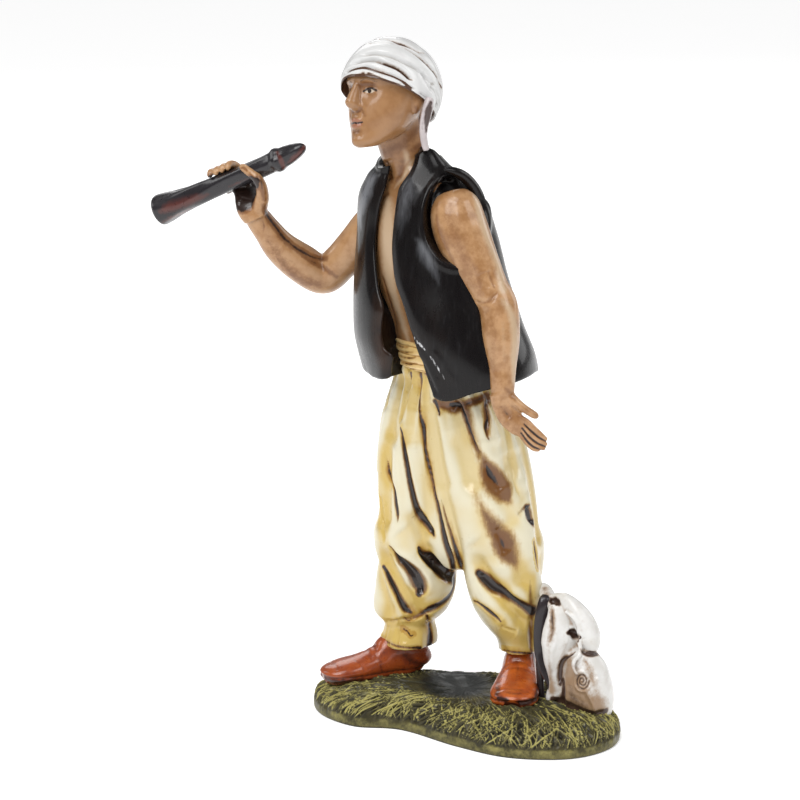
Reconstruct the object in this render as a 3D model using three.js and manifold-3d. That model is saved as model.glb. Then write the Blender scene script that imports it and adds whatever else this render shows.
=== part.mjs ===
// A moulded and painted presepe figure: a pipe player in a turban, an open waistcoat and wide gathered
// trousers, standing on a grassy mound with a cloth bundle beside the left foot. It is one moulding.
//
// Millimetres, +Z up. The figure faces -Y and +X is its own left. The origin is on the flat underside,
// at the middle of the mound's length and depth.
import * as THREE from 'three';
import { mergeVertices } from 'three/addons/utils/BufferGeometryUtils.js';
import Module from 'manifold-3d';

const wasm = await Module();
wasm.setup();

// Driving dimensions of the mound
const moundLength = 57.5;
const moundDepth = 29.5;
const moundHeight = 6;
const moundRim = 2.2;
const moundTurn = 22;
const bladeRelief = 0.75;

// Driving dimensions of the figure: its height in the turban, above the mound
const stature = 114;
const shoeLength = 18.4;
const shoeWidth = 7.4;
const fingerRadius = 0.65;
const waistcoatWall = 1.2;
const liningFill = 0.55;
const sashBands = 5;
const turbanBands = 6;

// Driving dimensions of the pipe
const pipeLength = 31.5;
const pipeRadius = 1.75;
const bellRadius = 2.85;
const tipRadius = 0.95;
const boreDepth = 1.6;

// Driving dimensions of the bundle and its strap
const bundleHeight = 17.5;
const bundleRadius = 4.1;
const strapWidth = 1.5;

// The pose is in hundredths of the stature, measured from the top of the mound
const unit = stature / 100;
const vec = (x, y, z) => new THREE.Vector3(x, y, z);
const upright = vec(0, 0, 1);
const at = (x, y, z) => vec(x * unit, y * unit, moundHeight + z * unit);
const radians = THREE.MathUtils.degToRad;
const { clamp, lerp, smoothstep } = THREE.MathUtils;

// Booleans

function toSolid(geometry) {
  const bare = geometry.clone();
  bare.deleteAttribute('normal');
  bare.deleteAttribute('uv');
  const merged = mergeVertices(bare, 1e-5);
  return new wasm.Manifold(new wasm.Mesh({
    numProp: 3,
    vertProperties: new Float32Array(merged.attributes.position.array),
    triVerts: new Uint32Array(merged.index.array),
  }));
}

function toGeometry(solid) {
  const mesh = solid.getMesh();
  const geometry = new THREE.BufferGeometry();
  geometry.setAttribute('position', new THREE.BufferAttribute(new Float32Array(mesh.vertProperties), 3));
  geometry.setIndex(new THREE.BufferAttribute(new Uint32Array(mesh.triVerts), 1));
  geometry.computeVertexNormals();
  return geometry;
}

const union = (solids) => solids.reduce((sum, next) => sum.add(next));

// Closed skins from rings of points. Every ring has the same number of points and turns the same way,
// anticlockwise when seen from the last ring looking back to the first.

// Triangles that fill a ring, seen along its own normal
function capFaces(ring) {
  const normal = ring.reduce((sum, p, i) => sum.add(p.clone().cross(ring[(i + 1) % ring.length])), vec(0, 0, 0));
  const flatten = new THREE.Quaternion().setFromUnitVectors(normal.normalize(), vec(0, 0, 1));
  const flat = ring.map((p) => p.clone().sub(ring[0]).applyQuaternion(flatten));
  return THREE.ShapeUtils.triangulateShape(flat.map((p) => new THREE.Vector2(p.x, p.y)), []);
}

function skin(rings, closedPath = false) {
  const sides = rings[0].length;
  const points = rings.flat();
  const index = [];
  const spans = closedPath ? rings.length : rings.length - 1;
  for (let i = 0; i < spans; i++) {
    const low = i * sides;
    const high = ((i + 1) % rings.length) * sides;
    for (let j = 0; j < sides; j++) {
      const next = (j + 1) % sides;
      index.push(low + j, low + next, high + next, low + j, high + next, high + j);
    }
  }
  if (!closedPath) {
    const last = (rings.length - 1) * sides;
    capFaces(rings[0]).forEach(([a, b, c]) => index.push(c, b, a));
    capFaces(rings.at(-1)).forEach(([a, b, c]) => index.push(last + a, last + b, last + c));
  }
  const geometry = new THREE.BufferGeometry();
  geometry.setAttribute('position', new THREE.Float32BufferAttribute(points.flatMap((p) => p.toArray()), 3));
  geometry.setIndex(index);
  return toSolid(geometry);
}

// A body swept through stations [centre, wide, deep]: half sizes along the side direction and across it,
// with an optional relief in millimetres that depends on the turn round the path and the place along it.
// The sections stand square to the path, or to one axis all the way where that is given.

function swept(stations, sides, steps, { side = vec(1, 0, 0), axis = null, power = 2, relief = () => 0 } = {}) {
  const path = new THREE.CatmullRomCurve3(stations.map((s) => s[0]), false, 'catmullrom');
  const size = new THREE.CatmullRomCurve3(
    stations.map(([, wide, deep = wide]) => vec(wide, deep, 0)), false, 'catmullrom');
  const rings = [];
  for (let i = 0; i <= steps; i++) {
    const t = i / steps;
    const centre = path.getPoint(t);
    const tangent = axis ?? path.getTangent(t);
    const across = side.clone().addScaledVector(tangent, -side.dot(tangent)).normalize();
    const along = tangent.clone().cross(across);
    const { x: wide, y: deep } = size.getPoint(t);
    rings.push(Array.from({ length: sides }, (_, j) => {
      const turn = (j / sides) * 2 * Math.PI;
      const c = Math.cos(turn);
      const s = Math.sin(turn);
      const swell = (Math.abs(c) ** power + Math.abs(s) ** power) ** (-1 / power);
      const extra = relief(turn, t, centre);
      return centre.clone()
        .addScaledVector(across, (Math.max(wide, 0.05) * swell + extra) * c)
        .addScaledVector(along, (Math.max(deep, 0.05) * swell + extra) * s);
    }));
  }
  return skin(rings);
}

// Mound

// Outline of the underside in shares of the half length and half depth
const outline = new THREE.CatmullRomCurve3([
  [-1, 0], [-0.87, -0.44], [-0.6, -0.68], [-0.3, -0.58], [0.12, -0.86], [0.49, -0.98], [0.84, -0.72],
  [0.99, -0.14], [0.87, 0.5], [0.45, 0.92], [0, 1.02], [-0.49, 0.75], [-0.87, 0.41],
].map(([x, y]) => vec(x, y, 0)), true, 'catmullrom');

function moundPoint(turn, share, lift) {
  const edge = outline.getPoint(turn);
  const point = vec(edge.x * moundLength / 2 * share, edge.y * moundDepth / 2 * share, lift);
  return point.applyAxisAngle(vec(0, 0, 1), radians(moundTurn));
}

function mound() {
  const sides = 72;
  // [share of the outline, share of the height above the rim, share of the blade relief]
  const profile = [
    [0.97, null, 0], [1, 0, 0.1], [0.96, 0.3, 0.9], [0.87, 0.65, 1],
    [0.73, 0.88, 0.8], [0.5, 1, 0.5],
  ];
  const rings = profile.map(([share, lift, blades], i) => Array.from({ length: sides }, (_, j) => {
    const turn = j / sides;
    if (lift === null) return moundPoint(turn, share, 0);
    // Blades: alternate columns stand proud and each row leans a little further round
    const lean = turn + i * 0.35 / sides;
    const blade = ((j + i) % 3 - 1) * blades * bladeRelief;
    const point = moundPoint(lean, share, moundRim + (moundHeight - moundRim) * lift);
    const out = vec(point.x, point.y, 0).normalize();
    return point.addScaledVector(out, blade * 0.35 * (1 - lift)).add(vec(0, 0, blade * 0.55 * lift));
  }));
  return skin(rings);
}

// Shoes

function shoe(heel, toe) {
  const direction = toe.clone().sub(heel).normalize();
  const side = upright.clone().cross(direction);
  const half = shoeWidth / 2;
  // [share of the length, half width in shares of the ball's, height in hundredths of the stature]
  const stations = [
    [0.0, 0.3, 2.2], [0.04, 0.62, 3.6], [0.16, 0.76, 4.9], [0.34, 0.76, 5.0], [0.52, 0.88, 3.6],
    [0.7, 1.0, 2.7], [0.86, 1.0, 2.2], [0.96, 0.72, 1.8], [1.0, 0.3, 1.1],
  ].map(([share, wide, tall]) => {
    const centre = heel.clone().addScaledVector(direction, share * shoeLength);
    centre.z = moundHeight + (tall / 2 - 0.45) * unit;
    return [centre, wide * half, (tall / 2 + 0.45) * unit];
  });
  return swept(stations, 12, 9, { side, power: 2.3 });
}

// Trousers: a full leg each side, gathered at the waist and the ankle, and the hanging seat between them

const pleat = (turn, count) => Math.abs(Math.sin(turn * count / 2));

// Folds pressed into a leg: [angle from the front in degrees, height, angle, height, width, depth]
function foldRelief(folds, angle, height) {
  const legRadius = 6.5;
  const perDegree = radians(legRadius);
  const wrap = (a) => (((a + 540) % 360) - 180) * perDegree;
  let sum = 0;
  for (const [a0, z0, a1, z1, width, depth] of folds) {
    const run = vec(wrap(a1 - a0), z1 - z0, 0);
    const here = vec(wrap(angle - a0), height - z0, 0);
    const share = clamp(here.dot(run) / run.lengthSq(), 0, 1);
    const gap = here.addScaledVector(run, -share).length();
    sum -= depth * Math.exp(-((gap / width) ** 2));
  }
  return sum;
}

// [height, x, y, half width, half depth] from the cuff up to the waist
const rightLeg = [
  [4.6, -12.9, 0.6, 4.0, 4.5], [6.4, -12.7, 0.8, 3.8, 4.5], [8.0, -12.8, 0.7, 4.1, 4.4],
  [9.4, -12.9, 0.6, 5.4, 4.9], [11, -12.6, 0.9, 6.1, 5.6], [14, -12.0, 1.2, 6.2, 6.3],
  [21, -11.8, 1.1, 6.4, 6.6], [31, -11.2, 1.1, 6.6, 6.8], [40, -10.3, 1.3, 6.7, 6.7],
  [46, -9.2, 1.3, 6.0, 6.3], [50, -8.4, 1.3, 5.3, 5.7], [53, -8.0, 1.3, 5.0, 5.4],
];
const leftLeg = [
  [4.2, 4.1, 8.2, 3.2, 3.5], [5.6, 4.1, 8.2, 3.3, 3.6], [7.4, 3.9, 8.0, 3.6, 3.9],
  [9.2, 3.5, 7.6, 4.3, 4.6], [11, 3.1, 7.2, 5.0, 5.2], [14, 2.6, 6.7, 5.7, 5.9],
  [21, 1.9, 6.1, 6.6, 6.5], [31, 0.3, 5.1, 7.5, 7.2], [40, -1.6, 4.3, 7.6, 7.2],
  [46, -3.2, 3.3, 6.9, 6.7], [50, -4.8, 2.4, 5.8, 5.9], [53, -5.2, 2.1, 5.2, 5.4],
];
const rightFolds = [
  [-80, 40, -50, 26, 1.7, 1.1], [-22, 47, -8, 26, 1.7, 1.3], [-60, 20, 0, 11, 1.7, 1.3],
  [-6, 19, 50, 11, 1.8, 1.6], [46, 26, 86, 18, 1.7, 1.2], [150, 44, 160, 24, 1.7, 1.2],
  [-150, 44, -140, 26, 1.7, 1.2], [-120, 20, -160, 11, 1.7, 1.1],
];
const leftFolds = [
  [10, 47, 24, 34, 1.7, 1.2], [44, 36, 66, 28, 1.7, 1.0], [50, 26, 74, 18, 1.7, 1.0],
  [6, 20, 62, 12, 1.8, 1.5], [84, 46, 84, 36, 1.7, 1.1], [112, 44, 118, 24, 1.7, 1.2],
  [150, 44, 150, 26, 1.7, 1.2], [120, 20, 160, 11, 1.7, 1.1],
];

function trouserLeg(stations, folds) {
  return swept(stations.map(([z, x, y, wide, deep]) => [at(x, y, z), wide * unit, deep * unit]), 24, 18, {
    axis: upright,
    power: 2.1,
    relief: (turn, t, centre) => {
      const height = (centre.z - moundHeight) / unit;
      const angle = (turn * 180) / Math.PI + 90;
      const gather = smoothstep(height, 36, 50) + 1 - smoothstep(height, 5, 9);
      return unit * (foldRelief(folds, angle, height) - 0.5 * gather * pleat(turn, 12));
    },
  });
}

function trouserSeat() {
  const r = (z, wide, deep) => {
    const down = (53 - z) / 35;
    return [at(lerp(-6.5, -5.2, down), lerp(1.8, 3.7, down), z), wide * unit, deep * unit];
  };
  return swept([
    r(17.6, 1.4, 1.4), r(18.4, 3.2, 3.0), r(20.5, 5.4, 4.5), r(24, 6.4, 5.3), r(31, 6.8, 5.5),
    r(40, 6.4, 5.4), r(46, 6.4, 5.2), r(53, 6.0, 4.8),
  ], 14, 8, { side: vec(0.94, 0.34, 0), axis: upright });
}

// Body, neck and sash

function torso() {
  return swept([
    [at(-6.2, 2.2, 49), 7.2 * unit, 5.6 * unit], [at(-6.6, 1.5, 54), 7.9 * unit, 6.0 * unit],
    [at(-7.2, 1.0, 57), 8.0 * unit, 6.0 * unit], [at(-8.4, -0.4, 62), 8.7 * unit, 6.5 * unit],
    [at(-9.2, -0.5, 67), 9.0 * unit, 6.7 * unit], [at(-9.5, -0.4, 72), 9.4 * unit, 6.5 * unit],
    [at(-9.9, -0.5, 76.5), 8.0 * unit, 5.0 * unit], [at(-10.4, -1.2, 79.6), 4.6 * unit, 3.8 * unit],
    [at(-10.7, -1.6, 81), 3.4 * unit, 3.2 * unit],
  ], 18, 9, {
    axis: upright,
    power: 2.2,
    relief: (turn, t) => {
      // The breastbone is a shallow channel between the chest muscles
      const front = Math.exp(-(((turn - 1.5 * Math.PI) / 0.22) ** 2));
      return -0.5 * unit * front * smoothstep(t, 0.3, 0.6);
    },
  });
}

function neck() {
  return swept([
    [at(-10.2, -0.6, 77), 4.6 * unit, 4.0 * unit], [at(-10.9, -1.6, 81), 3.7 * unit, 3.7 * unit],
    [at(-11.7, -2.6, 85), 3.5 * unit, 3.7 * unit], [at(-12.3, -3.0, 89.5), 3.8 * unit, 4.2 * unit],
  ], 14, 4);
}

function sash() {
  const low = 50.2;
  const high = 54;
  return swept([
    [at(-6.1, 2.0, low - 0.6), 7.2 * unit, 5.8 * unit], [at(-6.2, 1.9, low), 8.2 * unit, 6.5 * unit],
    [at(-6.4, 1.7, (low + high) / 2), 8.3 * unit, 6.5 * unit], [at(-6.6, 1.6, high), 8.3 * unit, 6.4 * unit],
    [at(-6.7, 1.5, high + 0.5), 7.4 * unit, 5.6 * unit],
  ], 18, 2 * sashBands, {
    axis: upright,
    relief: (turn, t) => 0.3 * unit * Math.abs(Math.sin(sashBands * Math.PI * (t + 0.03 * Math.sin(turn)))),
  });
}

// Waistcoat: a shell open down the front, from the hem up over the shoulders to the collar.
// [height, centre x, y, half width, half depth, left edge angle, right edge angle] from the front
// The moulding is filled behind the body, so the lining leaves the cloth a little way from each edge
// and runs inward to meet the torso. These are the lining's places round the shell, back to the start.
const lining = [1, 0.94, 0.87, 0.8, 0.65, 0.5, 0.35, 0.2, 0.13, 0.06, 0];
const shellStations = [
  [46.6, -5.6, 2.4, 14.5, 12.0, 33, 27], [50, -6.2, 2.0, 14.6, 12.1, 28, 25],
  [54, -6.9, 1.5, 14.3, 12.0, 23, 20], [59, -7.6, 1.0, 13.5, 11.4, 17, 13],
  [64, -8.4, 0.8, 12.7, 10.4, 12, 14], [70, -9.0, 0.6, 11.9, 9.2, 11, 21],
  [75, -9.5, 0.0, 11.2, 7.8, 15, 23], [78, -9.9, -0.6, 9.0, 6.4, 24, 28],
  [80.2, -10.3, -1.2, 6.4, 5.3, 36, 38], [81.8, -10.7, -1.6, 4.9, 4.8, 50, 46],
];

function waistcoat() {
  const around = 24;
  const steps = 10;
  const plan = new THREE.CatmullRomCurve3(shellStations.map((s) => vec(s[1], s[2], s[0])), false, 'catmullrom');
  const half = new THREE.CatmullRomCurve3(shellStations.map((s) => vec(s[3], s[4], 0)), false, 'catmullrom');
  const edge = new THREE.CatmullRomCurve3(shellStations.map((s) => vec(s[5], s[6], 0)), false, 'catmullrom');
  const rings = [];
  for (let i = 0; i <= steps; i++) {
    const t = i / steps;
    const centre = plan.getPoint(t);
    const size = half.getPoint(t);
    const edges = edge.getPoint(t);
    const point = (share, wall, fill) => {
      const turn = radians(lerp(edges.x, 360 - edges.y, share));
      const flare = 1 - smoothstep(centre.z, 48, 62);
      const wave = 0.45 * flare * Math.sin(5 * turn + 1);
      // The hem hangs lowest at the left front corner and climbs behind the left arm
      const corner = Math.exp(-(((turn - radians(20)) / radians(38)) ** 2));
      const behind = Math.exp(-(((turn - radians(103)) / radians(34)) ** 2));
      const lift = flare * (1.5 + 1.6 * behind - 1.85 * corner);
      const x = ((size.x + wave) * unit - wall) * (1 - fill);
      const y = ((size.y + wave) * unit - wall) * (1 - fill);
      return at(centre.x, centre.y, centre.z + lift).add(vec(x * Math.sin(turn), -y * Math.cos(turn), 0));
    };
    const shares = Array.from({ length: around + 1 }, (_, j) => j / around);
    rings.push([
      ...shares.map((share) => point(share, 0, 0)),
      ...lining.map((share) => point(
        share, waistcoatWall, liningFill * smoothstep(0.5 - Math.abs(share - 0.5), 0.02, 0.12))),
    ]);
  }
  return skin(rings);
}

// Arms

const leftShoulder = at(-2.0, -0.3, 76.3);
const leftWrist = at(8.6, -1.3, 48.6);
const rightShoulder = at(-17.8, -0.8, 71.4);
const rightWrist = at(-31.3, -13.9, 71.8);

function leftArm() {
  const r = (x, y, z, wide, deep) => [at(x, y, z), wide * unit, deep * unit];
  return swept([
    [leftShoulder, 1.6 * unit, 1.9 * unit], r(-0.4, -0.4, 74.6, 3.2, 3.3), r(0.9, -0.3, 71.9, 3.6, 3.9),
    r(2.6, -0.2, 68.2, 3.2, 3.7),
    r(4.9, 0.1, 63.6, 2.6, 3.0), r(6.2, 0.1, 60.6, 2.7, 3.0), r(7.3, -0.4, 56.2, 2.5, 2.8),
    r(8.1, -1.0, 51.6, 1.7, 2.1), [leftWrist, 1.4 * unit, 1.75 * unit],
    r(9.2, -1.2, 46.6, 0.9, 1.2),
  ], 12, 11, { side: vec(0.7, -0.7, 0) });
}

function rightArm() {
  const r = (x, y, z, wide, deep) => [at(x, y, z), wide * unit, deep * unit];
  return swept([
    [rightShoulder, 3.2 * unit, 3.2 * unit], r(-19.6, -1.2, 69.2, 3.2, 3.3), r(-21.8, -2.0, 66.6, 2.9, 3.1),
    r(-24.0, -3.1, 64.1, 2.8, 2.9), r(-26.4, -4.5, 61.9, 2.8, 2.9), r(-28.2, -7.4, 63.9, 2.8, 3.0),
    r(-29.6, -10.3, 66.5, 2.4, 2.6), r(-30.4, -12.2, 69.1, 2.0, 2.2), [rightWrist, 1.8 * unit, 1.9 * unit],
    r(-31.7, -14.3, 73.0, 1.1, 1.3),
  ], 12, 12, { side: vec(0.7, -0.7, 0) });
}

// Hands

function digit(points, radius = fingerRadius) {
  const stations = points.map((p, i) => [p, radius * (i === points.length - 1 ? 0.72 : 1.06 - 0.06 * i)]);
  const [last, before] = [points.at(-1), points.at(-2)];
  const end = last.clone().addScaledVector(last.clone().sub(before).normalize(), radius * 0.7);
  return swept([...stations, [end, radius * 0.2]], 5, 4, { side: vec(0.6, -0.7, 0.3) });
}

function leftHand() {
  const palmSide = vec(0.6, 0.62, 0.3);
  const palm = swept([
    [at(8.4, -1.3, 50), 1.3 * unit, 1.1 * unit], [leftWrist, 1.75 * unit, 1.35 * unit],
    [at(9.2, -1.1, 46.9), 1.85 * unit, 1.3 * unit], [at(10.4, -0.5, 45.1), 1.9 * unit, 1.0 * unit],
    [at(11.2, 0.05, 44.0), 1.75 * unit, 0.75 * unit], [at(11.6, 0.3, 43.4), 1.4 * unit, 0.45 * unit],
  ], 10, 6, { side: palmSide });
  const fingers = [0, 1, 2, 3].map((i) => {
    const spread = (i - 1.5) * 0.82;
    const reach = 1.04 - 0.09 * Math.abs(i - 1.6);
    const knuckle = vec(10.9 + spread * 0.6, -0.1 + spread * 0.62, 44.3 + spread * 0.3);
    const joint = (along, droop) => at(
      knuckle.x + along * reach * 0.5, knuckle.y + along * reach * 0.42 - droop * 0.3,
      knuckle.z - along * reach * 0.75 - droop * 0.1);
    return digit([joint(0, 0), joint(2.3, 0), joint(4.1, 0.25), joint(5.4, 0.7)]);
  });
  const thumb = digit([at(9.6, -0.7, 47.2), at(10.7, 0.1, 46.5), at(11.8, 0.9, 45.7), at(12.8, 1.6, 45)],
    fingerRadius * 1.25);
  return union([palm, ...fingers, thumb]);
}

// Pipe: its line runs from the bell to the tip, and the right hand holds it a little below the middle
const pipeBell = at(-45.7, -20.9, 71.6);
const pipeAxis = vec(23.7, 8.8, 11.2).normalize();
const pipeUp = vec(0, 0, 1).addScaledVector(pipeAxis, -pipeAxis.z).normalize();
const pipeNear = pipeAxis.clone().cross(pipeUp);
const grip = 0.46;

function pipe() {
  // [share of the length, radius]
  const profile = [
    [0, bellRadius * 0.92], [0.015, bellRadius], [0.05, bellRadius * 0.97], [0.12, bellRadius * 0.84],
    [0.22, lerp(pipeRadius, bellRadius, 0.34)], [0.36, pipeRadius * 1.04], [0.55, pipeRadius],
    [0.75, pipeRadius * 1.08], [0.775, pipeRadius * 1.1], [0.79, pipeRadius * 1.32], [0.82, pipeRadius * 1.34],
    [0.88, lerp(pipeRadius, tipRadius, 0.15)], [0.95, lerp(pipeRadius, tipRadius, 0.6)],
    [0.99, tipRadius], [1, tipRadius * 0.6],
  ];
  const outlinePoints = profile.map(([share, radius]) => new THREE.Vector2(radius, share * pipeLength));
  const bore = [[0, boreDepth], [bellRadius * 0.55, boreDepth * 0.7], [bellRadius * 0.74, 0]]
    .map(([radius, along]) => new THREE.Vector2(radius, along));
  const points = [...bore, ...outlinePoints, new THREE.Vector2(0, pipeLength)];
  const geometry = new THREE.LatheGeometry(points, 12);
  geometry.applyQuaternion(new THREE.Quaternion().setFromUnitVectors(vec(0, 1, 0), pipeAxis));
  geometry.translate(...pipeBell.toArray());
  return toSolid(geometry);
}

const onPipe = (along, near, up) => pipeBell.clone()
  .addScaledVector(pipeAxis, along)
  .addScaledVector(pipeNear, near)
  .addScaledVector(pipeUp, up);

function rightHand() {
  const gripAt = grip * pipeLength;
  const clear = pipeRadius + fingerRadius * 0.6;
  const palm = swept([
    [at(-30.7, -12.8, 70.0), 1.2 * unit, 1.4 * unit], [at(-31.4, -14.4, 72.4), 1.7 * unit, 2.3 * unit],
    [at(-31.2, -14.8, 74.3), 1.6 * unit, 2.35 * unit],
    [onPipe(gripAt + 2.4, -1.2, -clear - 0.6), 1.2 * unit, 2.35 * unit],
    [onPipe(gripAt + 1.4, -2.1, -clear + 1.0), 0.9 * unit, 2.4 * unit],
    [onPipe(gripAt + 1.2, -2.5, -clear + 1.8), 0.7 * unit, 2.0 * unit],
  ], 10, 7, { side: pipeNear });
  const fingers = [0, 1, 2, 3].map((i) => {
    const along = gripAt - 1.6 + i * fingerRadius * 2.1;
    return digit([
      onPipe(along + 0.8, -clear, -clear * 0.7), onPipe(along + 0.3, -clear * 1.15, 0.4),
      onPipe(along, -clear * 0.8, clear * 1.1), onPipe(along - 0.1, -0.1, clear * 1.4),
    ]);
  });
  const thumb = digit([
    at(-30.0, -13.5, 73.0), at(-28.7, -14.7, 76.3), at(-28.7, -16.0, 78.4), at(-29.8, -16.6, 79.4),
    at(-31.0, -16.9, 79.6),
  ], fingerRadius * 1.35);
  return union([palm, ...fingers, thumb]);
}

// Head. Its own frame has the origin between the ears, and is tipped back and leans to the figure's right.
const headUnit = 1.08 * unit;
const headCentre = at(-12.1, -4.3, 90.9);
const headTurn = new THREE.Euler(radians(-12), radians(-9), radians(-2), 'ZYX');
const onHead = (x, y, z) => vec(x, y, z).multiplyScalar(headUnit).applyEuler(headTurn).add(headCentre);
const headSide = vec(1, 0, 0).applyEuler(headTurn);
const headUp = vec(0, 0, 1).applyEuler(headTurn);

function face() {
  const r = (z, front, back, wide) => [
    onHead(0, (front + back) / 2, z), wide * headUnit, ((back - front) / 2) * headUnit];
  const skull = swept([
    r(-7.2, -4.9, -2.4, 1.5), r(-6.5, -5.8, -0.8, 2.6), r(-5.0, -5.8, 1.7, 3.6), r(-3.5, -6.0, 3.1, 4.25),
    r(-1.8, -6.0, 4.8, 4.75), r(0.4, -6.0, 6.1, 5.1), r(1.8, -6.5, 6.5, 5.3), r(4.2, -6.3, 6.4, 5.1),
  ], 18, 10, {
    side: headSide,
    axis: headUp,
    power: 2.15,
    relief: (turn, t, centre) => {
      // Shallow hollows for the eyes either side of the front
      const front = turn - 1.5 * Math.PI;
      const above = centre.clone().sub(headCentre).dot(headUp) / headUnit;
      const hollow = Math.exp(-(((Math.abs(front) - 0.42) / 0.2) ** 2) - ((above + 0.2) / 1.1) ** 2);
      return -0.55 * headUnit * hollow;
    },
  });
  const nose = swept([
    [onHead(0, -5.6, 1.3), 0.5 * headUnit, 0.7 * headUnit], [onHead(0, -6.0, -0.3), 0.6 * headUnit, 0.9 * headUnit],
    [onHead(0, -6.2, -1.6), 0.9 * headUnit, 1.2 * headUnit], [onHead(0, -5.8, -2.4), 0.9 * headUnit, 0.9 * headUnit],
    [onHead(0, -5.4, -2.7), 0.5 * headUnit, 0.4 * headUnit],
  ], 7, 5, { side: headSide, axis: headUp });
  const ear = (sign) => swept([
    [onHead(sign * 4.5, 0.7, -2.7), 0.3 * headUnit], [onHead(sign * 4.8, 0.9, -1.9), 0.45 * headUnit, 0.8 * headUnit],
    [onHead(sign * 5.0, 1.1, -0.6), 0.5 * headUnit, 1.1 * headUnit],
    [onHead(sign * 4.8, 1.2, 0.8), 0.4 * headUnit, 0.8 * headUnit],
  ], 6, 4, { side: headSide });
  return union([skull, nose, ear(-1), ear(1)]);
}

// Turban: an egg-shaped cap wound in bands. Every band lies between two planes that open like a fan from
// a line behind the nape, so the bands are wide on the forehead and crowd together at the back.
const capWide = 6.15;
const capDeep = 7.7;
const capTall = 7.3;
const capCentre = { y: 0.2, z: 0.7 };
const hinge = { y: 8.4, z: -3.8 };
const brimAngle = 21;

function turban() {
  const sides = 20;
  const steps = 2 * turbanBands + 2;
  const from = { y: hinge.y - capCentre.y, z: hinge.z - capCentre.z };
  // Where a plane at this angle cuts the egg: the middle and half the length of the cut
  const cut = (angle) => {
    const run = { y: -Math.cos(angle), z: Math.sin(angle) };
    const a = (run.y / capDeep) ** 2 + (run.z / capTall) ** 2;
    const b = (from.y * run.y) / capDeep ** 2 + (from.z * run.z) / capTall ** 2;
    const c = (from.y / capDeep) ** 2 + (from.z / capTall) ** 2 - 1;
    const root = Math.sqrt(Math.max(b * b - a * c, 0));
    return { run, middle: -b / a, half: root / a };
  };
  let last = brimAngle;
  while (cut(radians(last + 1)).half > 0.6) last += 1;
  const rings = Array.from({ length: steps + 1 }, (_, i) => {
    const tucked = i === 0 ? 0.85 : 1;
    const t = Math.max(i - 1, 0) / (steps - 1);
    const { run, middle, half } = cut(radians(lerp(brimAngle, last, t)));
    const centre = vec(0, hinge.y + run.y * middle, hinge.z + run.z * middle);
    const across = capWide * Math.sqrt(Math.max(
      1 - ((centre.y - capCentre.y) / capDeep) ** 2 - ((centre.z - capCentre.z) / capTall) ** 2, 0.004));
    return Array.from({ length: sides }, (_, j) => {
      const turn = (j / sides) * 2 * Math.PI;
      // The wraps flatten out where they crowd together by the hinge
      const spread = smoothstep(middle - half * Math.sin(turn), 1.5, 7) * smoothstep(half, 1, 5);
      const band = (i % 2 ? 0.32 : -0.12) * spread;
      const x = (across + band) * tucked * Math.cos(turn);
      const along = (half + band) * tucked * Math.sin(turn);
      return onHead(x, centre.y - run.y * along, centre.z - run.z * along);
    });
  });
  return skin(rings);
}

// The loose end of the turban hangs behind the left ear down to the collar
function turbanTail() {
  return swept([
    [at(-9.4, 0.8, 89.6), 1.4 * unit, 1.0 * unit], [at(-9.4, 1.0, 88.0), 1.4 * unit, 0.8 * unit],
    [at(-9.6, 1.0, 86.2), 1.1 * unit, 0.6 * unit], [at(-9.8, 0.8, 84.4), 0.9 * unit, 0.5 * unit],
    [at(-9.5, 1.2, 82.4), 0.9 * unit, 0.6 * unit], [at(-9.3, 1.4, 81), 0.9 * unit, 0.6 * unit],
  ], 8, 6, { side: vec(0.7, 0.7, 0) });
}

// Bundle: a tied cloth bag beside the left foot with a sheet folded over it

function bundle() {
  const tall = bundleHeight / unit;
  const girth = bundleRadius / unit;
  const r = (x, y, share, wide, deep) => [at(x, y, share * tall - 0.6), wide * girth * unit, deep * girth * unit];
  const side = vec(0.7, 0.7, 0);
  const bag = swept([
    r(17.4, 9.2, 0.0, 0.9, 0.8), r(17.6, 9.4, 0.16, 1.08, 1.0), r(17.3, 9.6, 0.34, 1.0, 0.98),
    r(16.4, 9.4, 0.52, 0.8, 0.85), r(15.6, 9.2, 0.62, 0.5, 0.6), r(15.4, 9.2, 0.66, 0.15, 0.2),
  ], 12, 6, { side });
  const sheet = swept([
    r(13.0, 6.9, 0.0, 0.5, 0.5), r(12.9, 7.2, 0.2, 0.55, 0.75), r(12.6, 7.9, 0.5, 0.85, 0.95),
    r(12.3, 8.6, 0.78, 0.9, 0.95), r(11.6, 8.8, 0.97, 0.5, 0.6), r(11.4, 8.8, 1.02, 0.12, 0.2),
  ], 12, 6, { side, power: 2.4 });
  const flap = swept([
    r(12.2, 8.8, 0.97, 0.3, 0.5), r(13.9, 10.0, 0.88, 0.42, 0.8), r(15.3, 10.9, 0.7, 0.46, 0.85),
    r(16.0, 11.3, 0.52, 0.4, 0.7), r(16.1, 11.3, 0.45, 0.15, 0.3),
  ], 10, 5, { side: vec(0.6, 0.6, 0.5) });
  const curl = swept([
    r(17.6, 7.4, 0.3, 0.36, 0.36), r(18.1, 6.3, 0.3, 0.36, 0.36), r(18.3, 6.0, 0.3, 0.16, 0.16),
  ], 8, 2, { side });
  const strapHalf = strapWidth / 2;
  const strap = swept([
    [at(10.6, 6.4, tall * 0.95), strapHalf], [at(10.9, 5.6, tall * 0.7), strapHalf],
    [at(10.9, 5.1, tall * 0.36), strapHalf], [at(11.6, 4.9, 0.6), strapHalf * 0.9],
    [at(11.8, 4.8, -0.6), strapHalf * 0.7],
  ], 5, 4, { side });
  return union([bag, sheet, flap, curl, strap]);
}

// Assembly

const leftShoe = shoe(at(0.8, 12.3, 0), at(10.4, -0.6, 0));
const rightShoe = shoe(at(-12.0, 2.8, 0), at(-19.4, -11.4, 0));

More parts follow.
